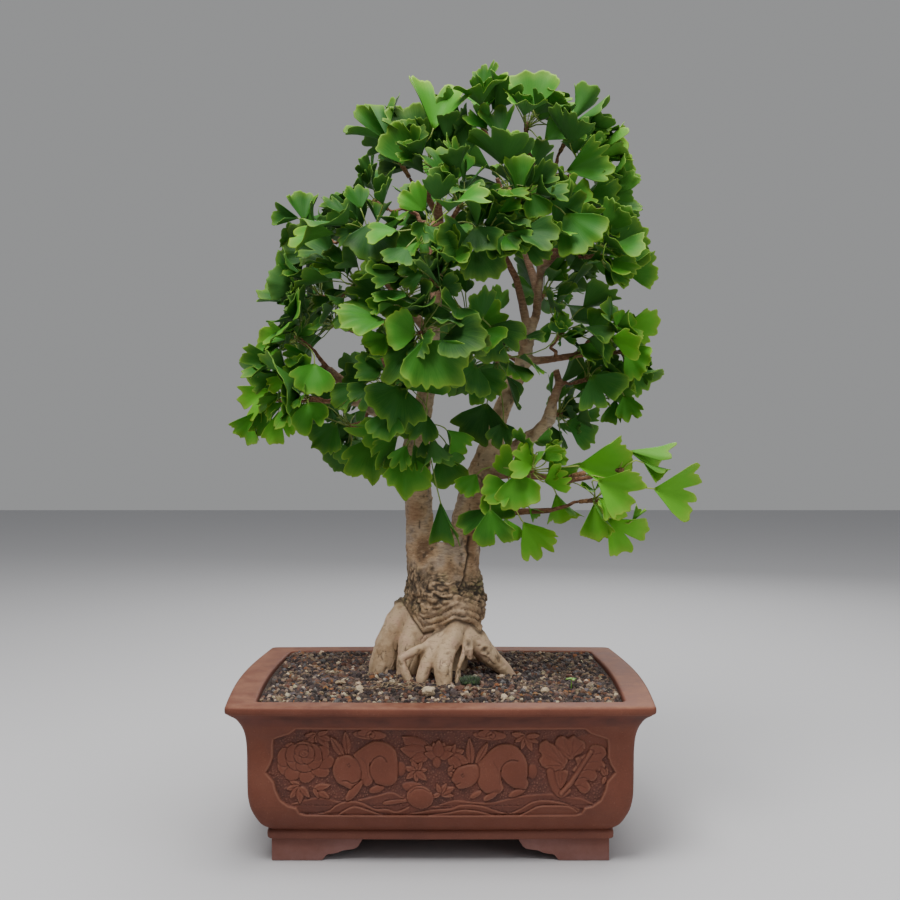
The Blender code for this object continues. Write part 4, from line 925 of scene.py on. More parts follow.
def smooth_run(points, steps):
    """More points along a smooth curve through the given ones."""
    rows = [np.array(p, float) for p in points]
    run = []
    for i in range(len(rows) - 1):
        before = rows[max(i - 1, 0)]
        a, b = rows[i], rows[i + 1]
        after = rows[min(i + 2, len(rows) - 1)]
        for k in range(steps):
            t = k / steps
            squared, cubed = 2 * before - 5 * a + 4 * b - after, 3 * a - before - 3 * b + after
            run.append(0.5 * (2 * a + (b - before) * t + squared * t * t + cubed * t ** 3))
    return [tuple(p) for p in run] + [tuple(rows[-1])]


POT_WALL = smooth_run(POT_BELLY, 3)
WALL_INSETS, WALL_HEIGHTS = (np.array(row) for row in zip(*POT_WALL))


def wall_out(side, along, height):
    """How far the outer wall stands from the pot's middle: side 0 is the long walls, 1 the short ones."""
    inset = np.interp(height, WALL_HEIGHTS, WALL_INSETS)
    run = POT_HALF[side] - inset - POT_CORNER
    bow = 1 - 0.5 * np.minimum(inset / BOW_FADE, 1)
    swell = np.sin(math.pi * np.clip((along / run + 1) / 2, 0, 1)) * bow
    return POT_HALF[1 - side] - inset + POT_BOW[side] * swell


# The carved panels on the long and short walls: half their length, and their lowest and highest edge, in mm
PANELS = ((191, 52.5, 154.5), (140, 52.5, 154.5))
PANEL_LOW, PANEL_HIGH = PANELS[0][1:]
WALL_INSET = 21
PANEL_DEEP = 5.0
CARVED_DEEP = 3.2
RELIEF_FOOT = 55.0
CORNER_SIGNS = ((1, -1), (1, 1), (-1, 1), (-1, -1))
CORNER_STEPS = 5
WALL_COLUMNS = 25


def ring_marks():
    """The outline's columns: a corner's have its number and their turn, a wall's their place along it."""
    marks = []
    for corner in range(4):
        turns = [-90 + 90 * corner + 90 * k / CORNER_STEPS for k in range(CORNER_STEPS + 1)]
        marks += [("turn", corner, math.radians(turn)) for turn in turns]
        side = 0 if corner % 2 else 1
        half = PANELS[side][0]
        edge = (half + POT_HALF[side] - WALL_INSET - POT_CORNER) / 2
        marks += [("run", corner, along) for along in (-edge, *np.linspace(-half, half, WALL_COLUMNS), edge)]
    return marks


def ring_place(mark, inset, height, beside_panel=False):
    """A column's place in a row: upright beside a panel, spread with the row elsewhere."""
    kind, corner, value = mark
    sx, sy = CORNER_SIGNS[corner]
    runs = [half - inset - POT_CORNER for half in POT_HALF]
    if kind == "turn":
        out = math.cos(value), math.sin(value)
        return Vector((sx * runs[0] + POT_CORNER * out[0], sy * runs[1] + POT_CORNER * out[1], height)) * MM
    side = 0 if corner % 2 else 1
    run = runs[side]
    half = PANELS[side][0]
    if not beside_panel:
        value *= run / (POT_HALF[side] - WALL_INSET - POT_CORNER)
    elif abs(value) > half:
        value = math.copysign((half + run) / 2, value)
    bow = 1 - 0.5 * min(max(inset, 0) / BOW_FADE, 1)
    out = POT_HALF[1 - side] - inset + POT_BOW[side] * math.sin(math.pi * (value / run + 1) / 2) * bow
    way = -1 if corner in (1, 2) else 1
    if side == 0:
        return Vector((way * value, sy * out, height)) * MM
    return Vector((sx * out, way * value, height)) * MM


def set_rows(rows):
    """The wall's profile rows, with one on each edge of the panels in place of those near it."""
    for edge in (PANEL_LOW, PANEL_HIGH):
        rows = [row for row in rows if abs(row[1] - edge) > 1.4]
        rows.append((float(np.interp(edge, WALL_HEIGHTS, WALL_INSETS)), edge))
    return sorted(rows, key=lambda row: row[1])


# A corner foot's outline, as (distance from the corner, height) in mm, and the outer faces of its arms
FOOT_OUTLINE = (
    (0, 0), (54, 0), (56.5, 1.2), (58.6, 4.5), (61, 6.4), (66, 7.0), (72, 8.2), (78, 10.8), (84, 11.6),
    (90, 12.4), (94.5, 15), (96.6, 18.5), (99, 22), (99, 26.5), (0, 26.5),
)
FOOT_THICK = 17
LONG_ARM = (185, 135)
# The short arms stand a little inside the long ones and higher, so no two of their faces share a plane
SHORT_ARM = (184.6, 134.6)
SHORT_ARM_LOW = 0.4
SHORT_ARM_SHARE = 0.8


def foot_arm(long_side, sx, sy):
    """One arm of a cloud-shaped corner foot, with softened edges."""
    bm = bmesh.new()
    corners = []
    for distance, height in FOOT_OUTLINE:
        if long_side:
            place = (sx * (LONG_ARM[0] - distance), sy * LONG_ARM[1], height)
        else:
            along = SHORT_ARM[1] - SHORT_ARM_SHARE * distance
            place = (sx * SHORT_ARM[0], sy * along, max(height, SHORT_ARM_LOW))
        corners.append(bm.verts.new(place))
    grown = bmesh.ops.extrude_face_region(bm, geom=[bm.faces.new(corners)])["geom"]
    inward = (0, -sy * FOOT_THICK, 0) if long_side else (-sx * FOOT_THICK, 0, 0)
    bmesh.ops.translate(bm, vec=inward, verts=of_kind(grown, VERT))
    bmesh.ops.recalc_face_normals(bm, faces=bm.faces)
    top = FOOT_OUTLINE[-1][1] - 0.5
    ridges = [e for e in bm.edges if e.calc_face_angle(0) > 0.6 and max(v.co.z for v in e.verts) < top]
    bmesh.ops.bevel(
        bm, geom=ridges, affect="EDGES", offset=1.3, segments=3, profile=0.5, material=-1, clamp_overlap=True
    )
    bmesh.ops.scale(bm, vec=(MM, MM, MM), verts=bm.verts)
    return made_mesh("arm", bm)


def drill(x):
    """A round rod that cuts a drain hole."""
    bm = bmesh.new()
    radius, length = DRAIN_RADIUS * MM, DRILL_LENGTH * MM
    bmesh.ops.create_cone(bm, cap_ends=True, segments=40, radius1=radius, radius2=radius, depth=length)
    bmesh.ops.translate(bm, vec=(x * MM, 0, DRILL_MIDDLE * MM), verts=bm.verts)
    return made_mesh("drill", bm)


def sink_panels(bm):
    """Presses a pocket for each carved panel into the pot's walls."""
    for side, (half, low, high) in enumerate(PANELS):
        for way in (-1, 1):
            pocket = []
            for face in bm.faces:
                middle = face.calc_center_median() / MM
                held = abs(middle[side]) < half and low < middle.z < high
                if held and middle[1 - side] * way > 0 and face.normal[1 - side] * way > 0.5:
                    pocket.append(face)
            grown = bmesh.ops.extrude_face_region(bm, geom=pocket)["geom"]
            step = Vector((0, 0, 0))
            step[1 - side] = -way * PANEL_DEEP * MM
            bmesh.ops.translate(bm, vec=step, verts=of_kind(grown, VERT))
            bmesh.ops.delete(bm, geom=[f for f in pocket if f.is_valid], context="FACES")


def grown_edge(bm, edges):
    """Extrudes edges, and gives the new points and the new edges between them."""
    grown = bmesh.ops.extrude_edge_only(bm, edges=edges)["geom"]
    fresh = set(of_kind(grown, VERT))
    return fresh, [edge for edge in of_kind(grown, EDGE) if fresh.issuperset(edge.verts)]


def make_pot():
    """The clay body: walls grown row by row, with sunken panels, drain holes and four corner feet."""
    marks = ring_marks()
    wall = set_rows(POT_WALL)
    rows = [(*row, False) for row in POT_FOOT_RING]
    rows += [(*row, PANEL_LOW - 0.1 < row[1] < PANEL_HIGH + 0.1) for row in wall]
    rows += [(*row, False) for row in POT_LIP]
    bm = bmesh.new()
    ring = [bm.verts.new(ring_place(mark, *rows[0])) for mark in marks]
    edges = [bm.edges.new((ring[i - 1], ring[i])) for i in range(len(ring))]
    bmesh.ops.edgeloop_fill(bm, edges=edges)
    for row in rows[1:]:
        fresh, edges = grown_edge(bm, edges)
        for k, vert in enumerate(ring):
            above = next(e.other_vert(vert) for e in vert.link_edges if e.other_vert(vert) in fresh)
            above.co = ring_place(marks[k], *row)
            ring[k] = above
    bmesh.ops.edgeloop_fill(bm, edges=edges)
    bmesh.ops.recalc_face_normals(bm, faces=bm.faces)
    bm.normal_update()
    sink_panels(bm)
    bmesh.ops.recalc_face_normals(bm, faces=bm.faces)
    mesh = made_mesh("pot_walls", bm)
    for x in (-DRAIN_X, DRAIN_X):
        cutter = add_object("drill", drill(x))
        mesh = changed_mesh(mesh, "BOOLEAN", operation="DIFFERENCE", object=cutter, solver="EXACT")
        bpy.data.objects.remove(cutter)
    whole = bmesh.new()
    whole.from_mesh(mesh)
    for long_side, sx, sy in itertools.product((True, False), (-1, 1), (-1, 1)):
        whole.from_mesh(foot_arm(long_side, sx, sy))
    bmesh.ops.translate(whole, vec=(pot_x, pot_y, 0), verts=whole.verts)
    mesh = made_mesh("pot_body", whole)
    x, y, z = ((mesh_places(mesh) - (pot_x, pot_y, 0)) / MM).T
    rim = smoothstep(176.5, 178.3, z)
    foot = 1 - 0.85 * smoothstep(24.2, 25.4, z) - 0.15 * smoothstep(35, 38, z)
    outer = np.maximum(np.abs(x) / POT_HALF[0], np.abs(y) / POT_HALF[1]) > 0.885
    # The outer walls just below the lip are painted darker, a painted shade where the lip overhangs them; it
    # goes in the deep channel.
    under_lip_shade = smoothstep(148, 163, z) * (z < 168.8) * outer
    paint(mesh, "clay", under_lip_shade, rim, foot, 0)
    finish_mesh("pot_body", mesh, [clay], "red_clay", "pot", sharp=38)


def within(x, y, ring):
    """Which places lie inside a closed line."""
    inside = np.zeros(len(x), bool)
    for (ax, ay), (bx, by) in zip(ring, ring[1:]):
        crossing = (ay > y) != (by > y)
        inside ^= crossing & (x < (bx - ax) * (y - ay) / ((by - ay) or 1e-9) + ax)
    return inside


class Carving:
    """A carved panel's heights on an even grid, figure by figure, in millimetres above its ground."""

    def __init__(self, x, y):
        self.x, self.y = x, y
        self.height = np.zeros(len(x))

    def near(self, x, y, reach):
        return np.flatnonzero((np.abs(self.x - x) < reach) & (np.abs(self.y - y) < reach))

    def put(self, at, inside, rise, outside):
        """Lays a figure on the others, with a fine cut round it where it overlaps them."""
        held = self.height[at]
        held -= 0.9 * np.minimum(held, 1.0) * np.exp(-((outside / 0.85) ** 2)) * ~inside
        self.height[at] = np.where(inside, np.maximum(rise, held * 0.55), held)

    def dome(self, x, y, long, short, turn=0, height=2.3, round_off=0.4, base=0.0):
        """A rounded oval swelling, turned by so many degrees."""
        at = self.near(x, y, long * 1.15 + 3)
        c, s = math.cos(math.radians(turn)), math.sin(math.radians(turn))
        dx, dy = self.x[at] - x, self.y[at] - y
        u, v = dx * c + dy * s, dy * c - dx * s
        d = np.hypot(u / long, v / short)
        rise = base + (height - base) * np.clip(1 - d * d, 0, 1) ** round_off
        self.put(at, d < 1, rise, np.maximum(d - 1, 0) * short)

    def shape(self, points, height=2.6, shoulder=3.2, base=0.9):
        """A smooth closed outline, swelling from its edge to a nearly flat top."""
        ring = smooth_run([*points, points[0]], 4)
        xs, ys = np.array(ring).T
        at = np.flatnonzero((self.x > xs.min() - 3) & (self.x < xs.max() + 3)
                            & (self.y > ys.min() - 3) & (self.y < ys.max() + 3))
        inside = within(self.x[at], self.y[at], ring)
        away = line_distance(self.x[at], self.y[at], ring)
        swell = np.sqrt(np.clip(1 - (1 - np.clip(away / shoulder, 0, 1)) ** 2, 0, 1))
        self.put(at, inside, base + (height - base) * swell + 0.02 * away, np.where(inside, 0, away))

    def petal(self, x, y, turn, long, wide, height=2.0, vein=0.5, blunt=0.8, base=0.7):
        """A leaf or petal that starts at a point and runs to its tip, with a vein down its middle."""
        at = self.near(x, y, long + wide + 3)
        c, s = math.cos(math.radians(turn)), math.sin(math.radians(turn))
        dx, dy = self.x[at] - x, self.y[at] - y
        u, v = (dx * c + dy * s) / long, dy * c - dx * s
        half = wide / 2 * np.sin(math.pi * np.clip(u, 0.001, 0.999) ** blunt) ** 0.8
        inside = (u > 0) & (u < 1) & (np.abs(v) < half)
        share = np.clip(np.abs(v) / np.maximum(half, 0.01), 0, 1)
        rise = base + (height - base) * np.sqrt(1 - share ** 3) * (0.75 + 0.25 * u)
        rise -= vein * np.exp(-((v / 0.55) ** 2)) * (u < 0.9)
        side_veins = np.maximum(np.cos((u * long - np.abs(v) * 0.9) * 2.1), 0) * share * (vein > 0.3)
        rise -= 0.5 * vein * side_veins
        outside = np.maximum(np.abs(v) - half, 0) + 9 * np.maximum(np.abs(u - 0.5) - 0.5, 0)
        self.put(at, inside, rise, outside)

    def ridge(self, points, wide, height=1.6):
        """A rounded ridge along a line."""
        away = line_distance(self.x, self.y, points) / (wide / 2)
        rise = height * np.sqrt(np.clip(1 - away * away, 0, 1))
        self.put(slice(None), away < 1, rise, np.maximum(away - 1, 0) * wide / 2)

    def hill(self, points, height=1.3):
        """Fills the panel up to a line, with a raised lip along it."""
        xs, ys = zip(*points)
        under = np.interp(self.x, xs, ys) - self.y
        inside = (under > 0) & (self.x > xs[0]) & (self.x < xs[-1])
        rise = height * (0.62 + 0.38 * np.exp(-((under - 1.6) / 1.6) ** 2)) * smoothstep(-0.2, 1.0, under)
        self.put(slice(None), inside, rise, np.where(under > 0, 9.0, -under))

    def groove(self, points, wide=1.3, deep=0.8, smooth=0):
        """A fine cut along a line, which is rounded off first by so many steps."""
        if smooth:
            points = smooth_run(points, smooth)
        away = line_distance(self.x, self.y, points) / (wide / 2)
        self.height -= deep * np.exp(-away ** 2) * np.minimum(self.height, 1)

    def spiral(self, x, y, radius, start, turns, wide=1.4, deep=0.9):
        """A curled groove that winds in from its outer end."""
        line = []
        for k in range(int(abs(turns) * 18) + 1):
            a = math.radians(start) + math.copysign(k / 18 * 2 * math.pi, turns)
            r = radius * (1 - k / (abs(turns) * 18 + 6))
            line.append((x + r * math.cos(a), y + r * math.sin(a)))
        self.groove(line, wide, deep)


def wavy(x0, x1, y, swell, beat, steps=26, shift=0.0):
    return [
        (x0 + (x1 - x0) * k / steps, y + swell * math.sin(beat * k / steps * 2 * math.pi + shift))
        for k in range(steps + 1)
    ]


# A peony's rows of petals, from outside in: how many, the first one's angle and the step to the next, how far
# out they lie across and up, how high the row's middle is, and each petal's length, width, height and base
PEONY_ROWS = (
    (9, 200, 40, 0.72, 0.4464, -0.12, 0.34, 0.25, 1.7, 0.8),
    (6, 215, 60, 0.42, 0.3, 0.05, 0.32, 0.24, 2.1, 1.2),
    (4, 235, 80, 0.2, 0.16, 0.14, 0.24, 0.19, 2.4, 1.6),
)


def carve_peony(c, x, y, size):
    """A full peony: three rows of petals round a folded heart."""
    for row, (count, first, step, across, up, lift, long, wide, height, base) in enumerate(PEONY_ROWS):
        for k in range(count):
            a = first + k * step
            cos, sin = math.cos(math.radians(a)), math.sin(math.radians(a))
            turn = a + 90 if row else a * 0.5 + 90 * (abs(sin) > 0.7)
            c.dome(x + size * across * cos, y + size * lift + size * up * sin, size * long, size * wide, turn,
                   height, 0.3, base)
    c.dome(x, y + 0.17 * size, size * 0.16, size * 0.13, 0, 2.6, 0.4, 1.8)
    c.spiral(x, y + 0.17 * size, size * 0.12, 40, 1.2, 1.0, 0.6)


def carve_leaves(c, x, y, turns, long, wide):
    """A spray of pointed leaves from one point."""
    for turn, share in turns:
        c.petal(x, y, turn, long * share, wide * share, 1.9)


def carve_cloud(c, x, y, size):
    """A flat cloud scroll."""
    c.dome(x, y, size, size * 0.3, -3, 2.0, 0.28)
    c.dome(x - size * 0.3, y + size * 0.16, size * 0.42, size * 0.2, 8, 2.1, 0.3, 1.0)
    c.spiral(x + size * 0.1, y - size * 0.02, size * 0.34, 190, -1.3, 1.2, 0.9)
    c.groove([(x - size * 0.8, y - 1), (x - size * 0.35, y - 2.2), (x + size * 0.2, y - size * 0.24)])


# The relief's lines, as (x, y) in millimetres from the panel's middle and from the level of its hills' feet
HILLS = (
    (1.0, ((-176, 8), (-150, 18), (-128, 22), (-104, 17), (-70, 24), (-52, 28), (-39, 22), (-14, 15),
           (2, 12))),
    (1.0, ((-6, 12), (14, 19), (38, 17), (57, 17), (73, 21), (88, 24), (119, 26), (141, 22), (154, 20),
           (174, 9))),
    (1.4, ((-140, 2), (-122, 6), (-113, 13), (-104, 17), (-92, 18), (-82, 15), (-70, 9), (-58, 9), (-47, 6),
           (-34, 12))),
    (1.4, ((-36, 3), (-12, 8), (11, 10), (22, 14), (44, 13), (58, 8), (73, 4), (86, 9), (97, 16), (110, 19),
           (127, 17), (137, 14), (150, 8))),
    (1.8, ((-112, 1), (-103, 8), (-92, 12), (-78, 8), (-62, 2))),
    (1.8, ((-20, 1), (8, 5), (22, 8), (39, 7), (56, 2))),
    (1.8, ((84, 1), (92, 5), (105, 12), (121, 13), (138, 12), (148, 6))),
)
HARE_BACK = (
    (-94, 68), (-88, 73), (-81, 78), (-74, 82), (-67, 83), (-58, 81), (-50, 75), (-47, 68), (-46, 59),
    (-46, 45), (-48, 39), (-54, 35), (-62, 35), (-69, 37), (-72, 40), (-74, 37), (-79, 34), (-84, 37),
    (-88, 45), (-91, 55),
)
HARE_HEAD = (
    (-111, 65), (-106, 67), (-100, 68), (-95, 66), (-89, 61), (-86, 54), (-85, 46), (-88, 39), (-94, 34),
    (-97, 31), (-104, 34), (-111, 38), (-115, 45), (-116, 52), (-114, 60),
)
LOW_HARE_BACK = (
    (40, 58), (49, 68), (59, 77), (70, 80), (80, 78), (88, 70), (93, 60), (94, 48), (93, 42), (95, 37),
    (92, 31), (87, 31), (77, 33), (70, 38), (66, 43), (66, 37), (68, 32), (63, 26), (55, 25), (47, 28),
    (41, 35), (39, 46),
)
LOW_HARE_HEAD = (
    (18, 54), (26, 57), (33, 58), (40, 57), (42, 48), (40, 41), (34, 35), (26, 32), (19, 32), (15, 37),
    (12, 41), (14, 48),
)
# Fine cuts on the hares, as (width, depth, line)
HARE_CUTS = (
    (1.4, 1.2, ((-105, 40), (-100, 40), (-96, 37.5), (-91, 38.5), (-86, 41))),
    (1.6, 1.2, ((-76, 57), (-71.5, 64), (-65.5, 67), (-60.5, 65), (-58, 61))),
    (1.6, 1.2, ((-75.5, 60), (-76.5, 53.5), (-75, 46), (-72, 40))),
    (1.3, 0.6, ((-84, 64), (-80, 58), (-78.5, 50), (-78, 43))),
)
LOW_HARE_CUTS = (
    (1.6, 1.2, ((65, 51), (66.5, 56), (71, 60.5), (77, 62.5), (83, 61.5))),
    (1.6, 1.2, ((65, 51), (65, 45), (70, 38), (77, 33))),
    (1.3, 0.6, ((57, 60), (62, 52), (64, 44), (64, 37))),
)


def carve_hares(c):
    """Two crouching hares that face left, the second with its head down."""
    c.petal(-100, 67, 95, 27, 9.5, 1.7, 0.9, 0.9, 0.5)
    c.petal(-104, 65, 122, 27, 9.5, 2.3, 1.0, 0.9, 0.6)
    c.dome(-43, 53, 6.0, 8.0, 0, 1.9, 0.45)
    c.dome(-68.5, 31, 9.0, 4.2, 20, 1.9, 0.4)
    c.shape(HARE_BACK, 2.7, 4.5)
    c.dome(-93, 29, 14, 4.6, 51, 2.2, 0.35, 0.9)
    c.shape(HARE_HEAD, 3.0, 4.0)
    for wide, deep, line in HARE_CUTS:
        c.groove(line, wide, deep, smooth=3)
    c.spiral(-98, 56.5, 2.3, 90, 1.1, 1.0, 1.0)
    c.petal(33, 56, 94, 31, 9.5, 1.7, 0.9, 0.9, 0.5)
    c.petal(38, 57, 62, 28, 8.5, 2.0, 0.9, 0.9, 0.6)
    c.dome(99, 50, 5.5, 8.5, 0, 1.9, 0.45)
    c.dome(83, 27.5, 11, 3.8, 25, 2.1, 0.4)
    c.dome(38, 25, 7.5, 3.0, 30, 1.8, 0.4)
    c.shape(LOW_HARE_BACK, 2.7, 4.5)
    c.dome(54, 23.5, 9.0, 3.4, 32, 2.2, 0.4, 0.9)
    c.shape(LOW_HARE_HEAD, 2.9, 4.0)
    for wide, deep, line in LOW_HARE_CUTS:
        c.groove(line, wide, deep, smooth=3)
    c.groove([(13, 38), (17, 36.5), (21, 38)], 1.2, 1.0)
    c.spiral(24.5, 46, 2.1, 90, 1.1, 1.0, 1.0)


# Each lotus leaf's outline, and the place that its ribs run from
LOTUS_LEAVES = (
    ((134, 56), (
        (106, 72), (107, 80), (113, 84), (118, 81), (123, 79), (127, 75), (133, 73), (138, 66), (136, 58),
        (131, 51), (123, 49), (116, 52), (109, 56), (106, 62), (109, 67),
    )),
    ((141, 65), (
        (123, 79), (125, 86), (131, 89), (137, 86), (143, 89), (149, 85), (155, 82), (156, 75), (151, 69),
        (145, 66), (140, 62), (134, 66), (129, 72),
    )),
    (None, (
        (158, 70), (163, 78), (171, 78), (177, 75), (179, 68), (174, 62), (178, 56), (173, 50), (167, 51),
        (169, 44), (164, 39), (158, 40), (162, 32), (157, 26), (151, 27), (147, 32), (143, 38), (147, 45),
        (142, 51), (147, 57), (145, 64), (152, 66),
    )),
)


def carve_lotus(c):
    """Lotus leaves on a bent stem at the panel's right end."""
    for heart, points in LOTUS_LEAVES:
        c.shape(points, 2.3, 3.0)
        for px, py in points[::2] if heart else ():
            rib = [(heart[0] + (px - heart[0]) * share, heart[1] + (py - heart[1]) * share)
                   for share in (0.15, 0.5, 0.82)]
            c.groove(rib, 1.2, 0.6)
    for k in range(5):
        sx, sy = 141 + 4.2 * k, 33 + 8.4 * k
        c.groove([(sx, sy), (sx + 9, sy + 2), (sx + 15, sy - 1 + k)], 1.2, 0.7)
        c.groove([(sx, sy), (sx - 2, sy + 5), (sx - 5, sy + 9)], 1.2, 0.6)
    c.shape(((121, 49), (128, 51), (137, 50), (136, 42), (133, 34), (128, 30), (123, 36)), 1.7, 3.0)
    c.groove([(127, 49), (127, 42), (129, 34)], 1.2, 0.6)
    c.groove([(132, 49), (131, 43), (130, 37)], 1.2, 0.6)
    c.ridge(smooth_run([(118, 50), (120, 40), (124, 30), (130, 25), (137, 29)], 4), 8.0, 2.3)
    c.ridge([(130, 26), (141, 38), (151, 54), (162, 71)], 5.5, 2.9)
    carve_leaves(c, 178, 44, ((80, 0.8), (115, 1.0), (250, 0.8)), 12, 6)


# Sprays of leaves on the long panels: the place, the leaves' length and width, and each one's turn and share.
# Those at the end lie under the peony and the clouds.
END_SPRAYS = (
    (-132, 90, 17, 8, ((185, 0.85), (222, 1.0), (255, 0.55), (308, 1.15), (338, 1.0), (20, 0.7))),
    (-151, 33, 17, 8, ((150, 0.8), (190, 0.9), (228, 1.0), (268, 1.1), (310, 0.9))),
    (-137, 31, 17, 7, ((330, 1.2), (12, 1.1), (300, 0.7))),
)
MIDDLE_SPRAYS = (
    (92, 88, 17, 7, ((168, 1.0), (205, 0.8), (250, 0.9), (292, 1.05), (332, 0.9), (5, 0.9))),
    (-12, 68, 17, 9, ((118, 1.2), (145, 2.1), (168, 1.9), (198, 1.3))),
    (8, 66, 16, 9, ((22, 1.2), (345, 1.5), (318, 1.3), (60, 1.0))),
)
LOW_SPRAYS = (
    (-26, 50, 15, 8, ((10, 0.8), (60, 0.8), (110, 0.9), (160, 0.9), (215, 0.9), (270, 0.8), (320, 1.0))),
    (8, 50, 13, 6, ((0, 0.9), (320, 0.9), (50, 0.7))),
    (0, 26, 13, 6, ((350, 1.1), (25, 1.3), (60, 1.0), (110, 0.9), (205, 0.9))),
)


def carve_sprays(c, sprays):
    for x, y, long, wide, turns in sprays:
        carve_leaves(c, x, y, turns, long, wide)


def carve_long_panel(c):
    """Two hares among peonies, leaves, clouds and a radish, over waves of low hills."""
    for height, points in HILLS:
        c.hill(smooth_run(points, 5), height)
    carve_sprays(c, END_SPRAYS)
    carve_peony(c, -147, 64, 31)
    carve_cloud(c, -76, 90, 18)
    carve_cloud(c, 53, 89.5, 18)
    carve_sprays(c, MIDDLE_SPRAYS)
    for turn, share in ((70, 0.9), (110, 0.9), (40, 1.0), (140, 1.0), (15, 0.85), (165, 0.85), (90, 1.0)):
        c.petal(-2, 66, turn, 19 * share, 12 * share, 2.2, 0.25, 0.7)
    c.dome(-4, 60, 4.6, 6.0, 0, 2.3)
    carve_sprays(c, LOW_SPRAYS)
    carve_hares(c)
    c.petal(-62, 15, 8, 42, 5.0, 1.7, 0.3, 0.45, 0.3)
    c.dome(-29, 33, 12.5, 6.0, -8, 2.0, 0.4)
    c.dome(-22, 22, 14.5, 12.5, -20, 2.6, 0.36, 0.9)
    c.groove([(-33, 27), (-28, 31.5), (-19, 32), (-11, 28)], 1.2, 0.8)
    carve_lotus(c)


def carve_short_panel(c):
    """A peony with its leaves between cloud scrolls, over low hills."""
    for points, wide, height in (
        (wavy(-120, 120, 10, 4, 2.5), 8, 1.2), (wavy(-110, 112, 5, 2, 3, shift=2.0), 6, 1.5),
        (wavy(-80, 90, 15, 3, 2, shift=4.0), 4.5, 1.4),
    ):
        c.ridge(points, wide, height)
        c.groove([(x, y + wide * 0.2) for x, y in points], 1.1, 0.6)
    carve_cloud(c, -72, 86, 19)
    carve_cloud(c, 66, 84, 19)
    carve_leaves(c, -24, 44, ((150, 1.3), (185, 1.6), (215, 1.3), (245, 1.0)), 22, 10)
    carve_leaves(c, 24, 44, ((30, 1.3), (355, 1.6), (325, 1.3), (295, 1.0)), 22, 10)
    carve_leaves(c, 0, 70, ((60, 1.0), (120, 1.0), (90, 1.1)), 20, 9)
    carve_peony(c, 0, 52, 36)
    for way in (-1, 1):
        c.ridge([(way * 40, 26), (way * 62, 40), (way * 80, 52)], 3.5, 1.7)
        carve_leaves(c, way * 84, 54, tuple((90 - way * turn, 1.0) for turn in (0, 45, 90, 135, -45)), 18, 8)
        carve_peony(c, way * 88, 44, 20)


# An end of a panel, as (distance inward from its tip, y) in millimetres
PANEL_END = (
    (43, 0.5), (36, 3), (33, 9), (25, 11), (16, 18), (11, 29), (9, 38), (0, 48.5), (5, 57), (8, 65), (8, 78),
    (9, 85), (17, 88), (26, 91), (34, 97),
)


def panel_edge(half):
    """The outline of a sunken panel with stepped and pointed ends, in the relief's own millimetres."""
    right = [(half - inward, y) for inward, y in PANEL_END]
    return [*right, *((-x, y) for x, y in reversed(right))]


def make_panel(name, side, way, step, carve, mirrored=False):
    """A carved panel that fills its pocket in the pot's wall, on a grid of so many millimetres."""
    half, low, high = PANELS[side]
    bm = bmesh.new()
    bmesh.ops.create_grid(bm, x_segments=int(2 * half / step), y_segments=int((high - low) / step), size=1.0)
    fresh, back = grown_edge(bm, [e for e in bm.edges if e.is_boundary])
    bmesh.ops.translate(bm, vec=(0, 0, -1), verts=list(fresh))
    bmesh.ops.edgeloop_fill(bm, edges=back)
    bmesh.ops.recalc_face_normals(bm, faces=bm.faces)
    mesh = made_mesh(name, bm)
    unit = mesh_places(mesh)
    along, height = unit[:, 0] * half, low + (unit[:, 1] + 1) / 2 * (high - low)
    x = along * (-1 if mirrored else 1)
    y = height - RELIEF_FOOT
    c = Carving(x, y)
    carve(c)
    ring = panel_edge(half - 2)
    ring.append(ring[0])
    inside = within(x, y, ring)
    border = line_distance(x, y, ring)
    sunk = np.where(inside, smoothstep(0.0, 1.7, border), 0.0)
    spots = np.stack([x, y, np.zeros(len(x))], axis=1)
    edge, own = plates(spots, 2.5, 7)
    bare = 1 - smoothstep(0.2, 0.9, c.height)
    figure = np.clip(1.13 * c.height, 0, CARVED_DEEP + 0.25)
    figure += 0.28 * (waves(spots, 7, 11, 2) - 0.5) * (1 - bare)
    ground = bare * (0.75 * smoothstep(0.06, 0.5, edge) + 0.5 * own - 0.5)
    rise = sunk * (figure + ground - CARVED_DEEP)
    rise += 0.3 * np.where(inside, 0, np.exp(-((border - 1.2) / 1.1) ** 2))
    front = unit[:, 2] > -0.5
    out = wall_out(side, along, height) + np.where(front, rise, -PANEL_DEEP)
    flat = (along, way * out) if side == 0 else (way * out, along)
    move_mesh(mesh, np.stack([pot_x + flat[0] * MM, pot_y + flat[1] * MM, height * MM], axis=1))
    bm = bmesh.new()
    bm.from_mesh(mesh)
    bmesh.ops.recalc_face_normals(bm, faces=bm.faces)
    bm.to_mesh(mesh)
    bm.free()
    level = np.where(front, rise, 0.0)
    around = relaxed(level[:, None], mesh_edges(mesh), np.full(len(level), 0.5), 9)[:, 0]
    # The panel's low ground and every crevice lower than the carving round it are painted darker, a painted
    # shade in the recesses.
    deep = np.maximum(sunk * smoothstep(1.3, 0.15, c.height), smoothstep(0.08, 0.75, around - level))
    # Edges that stand above the carving round them are painted lighter, partly wear and partly a painted
    # highlight.
    worn_and_highlit = smoothstep(0.06, 0.6, level - around)
    paint(mesh, "clay", np.where(front, deep, 0), 0, 0, np.where(front, worn_and_highlit, 0))
    finish_mesh(name, mesh, [clay], "red_clay", "pot", sharp=60)


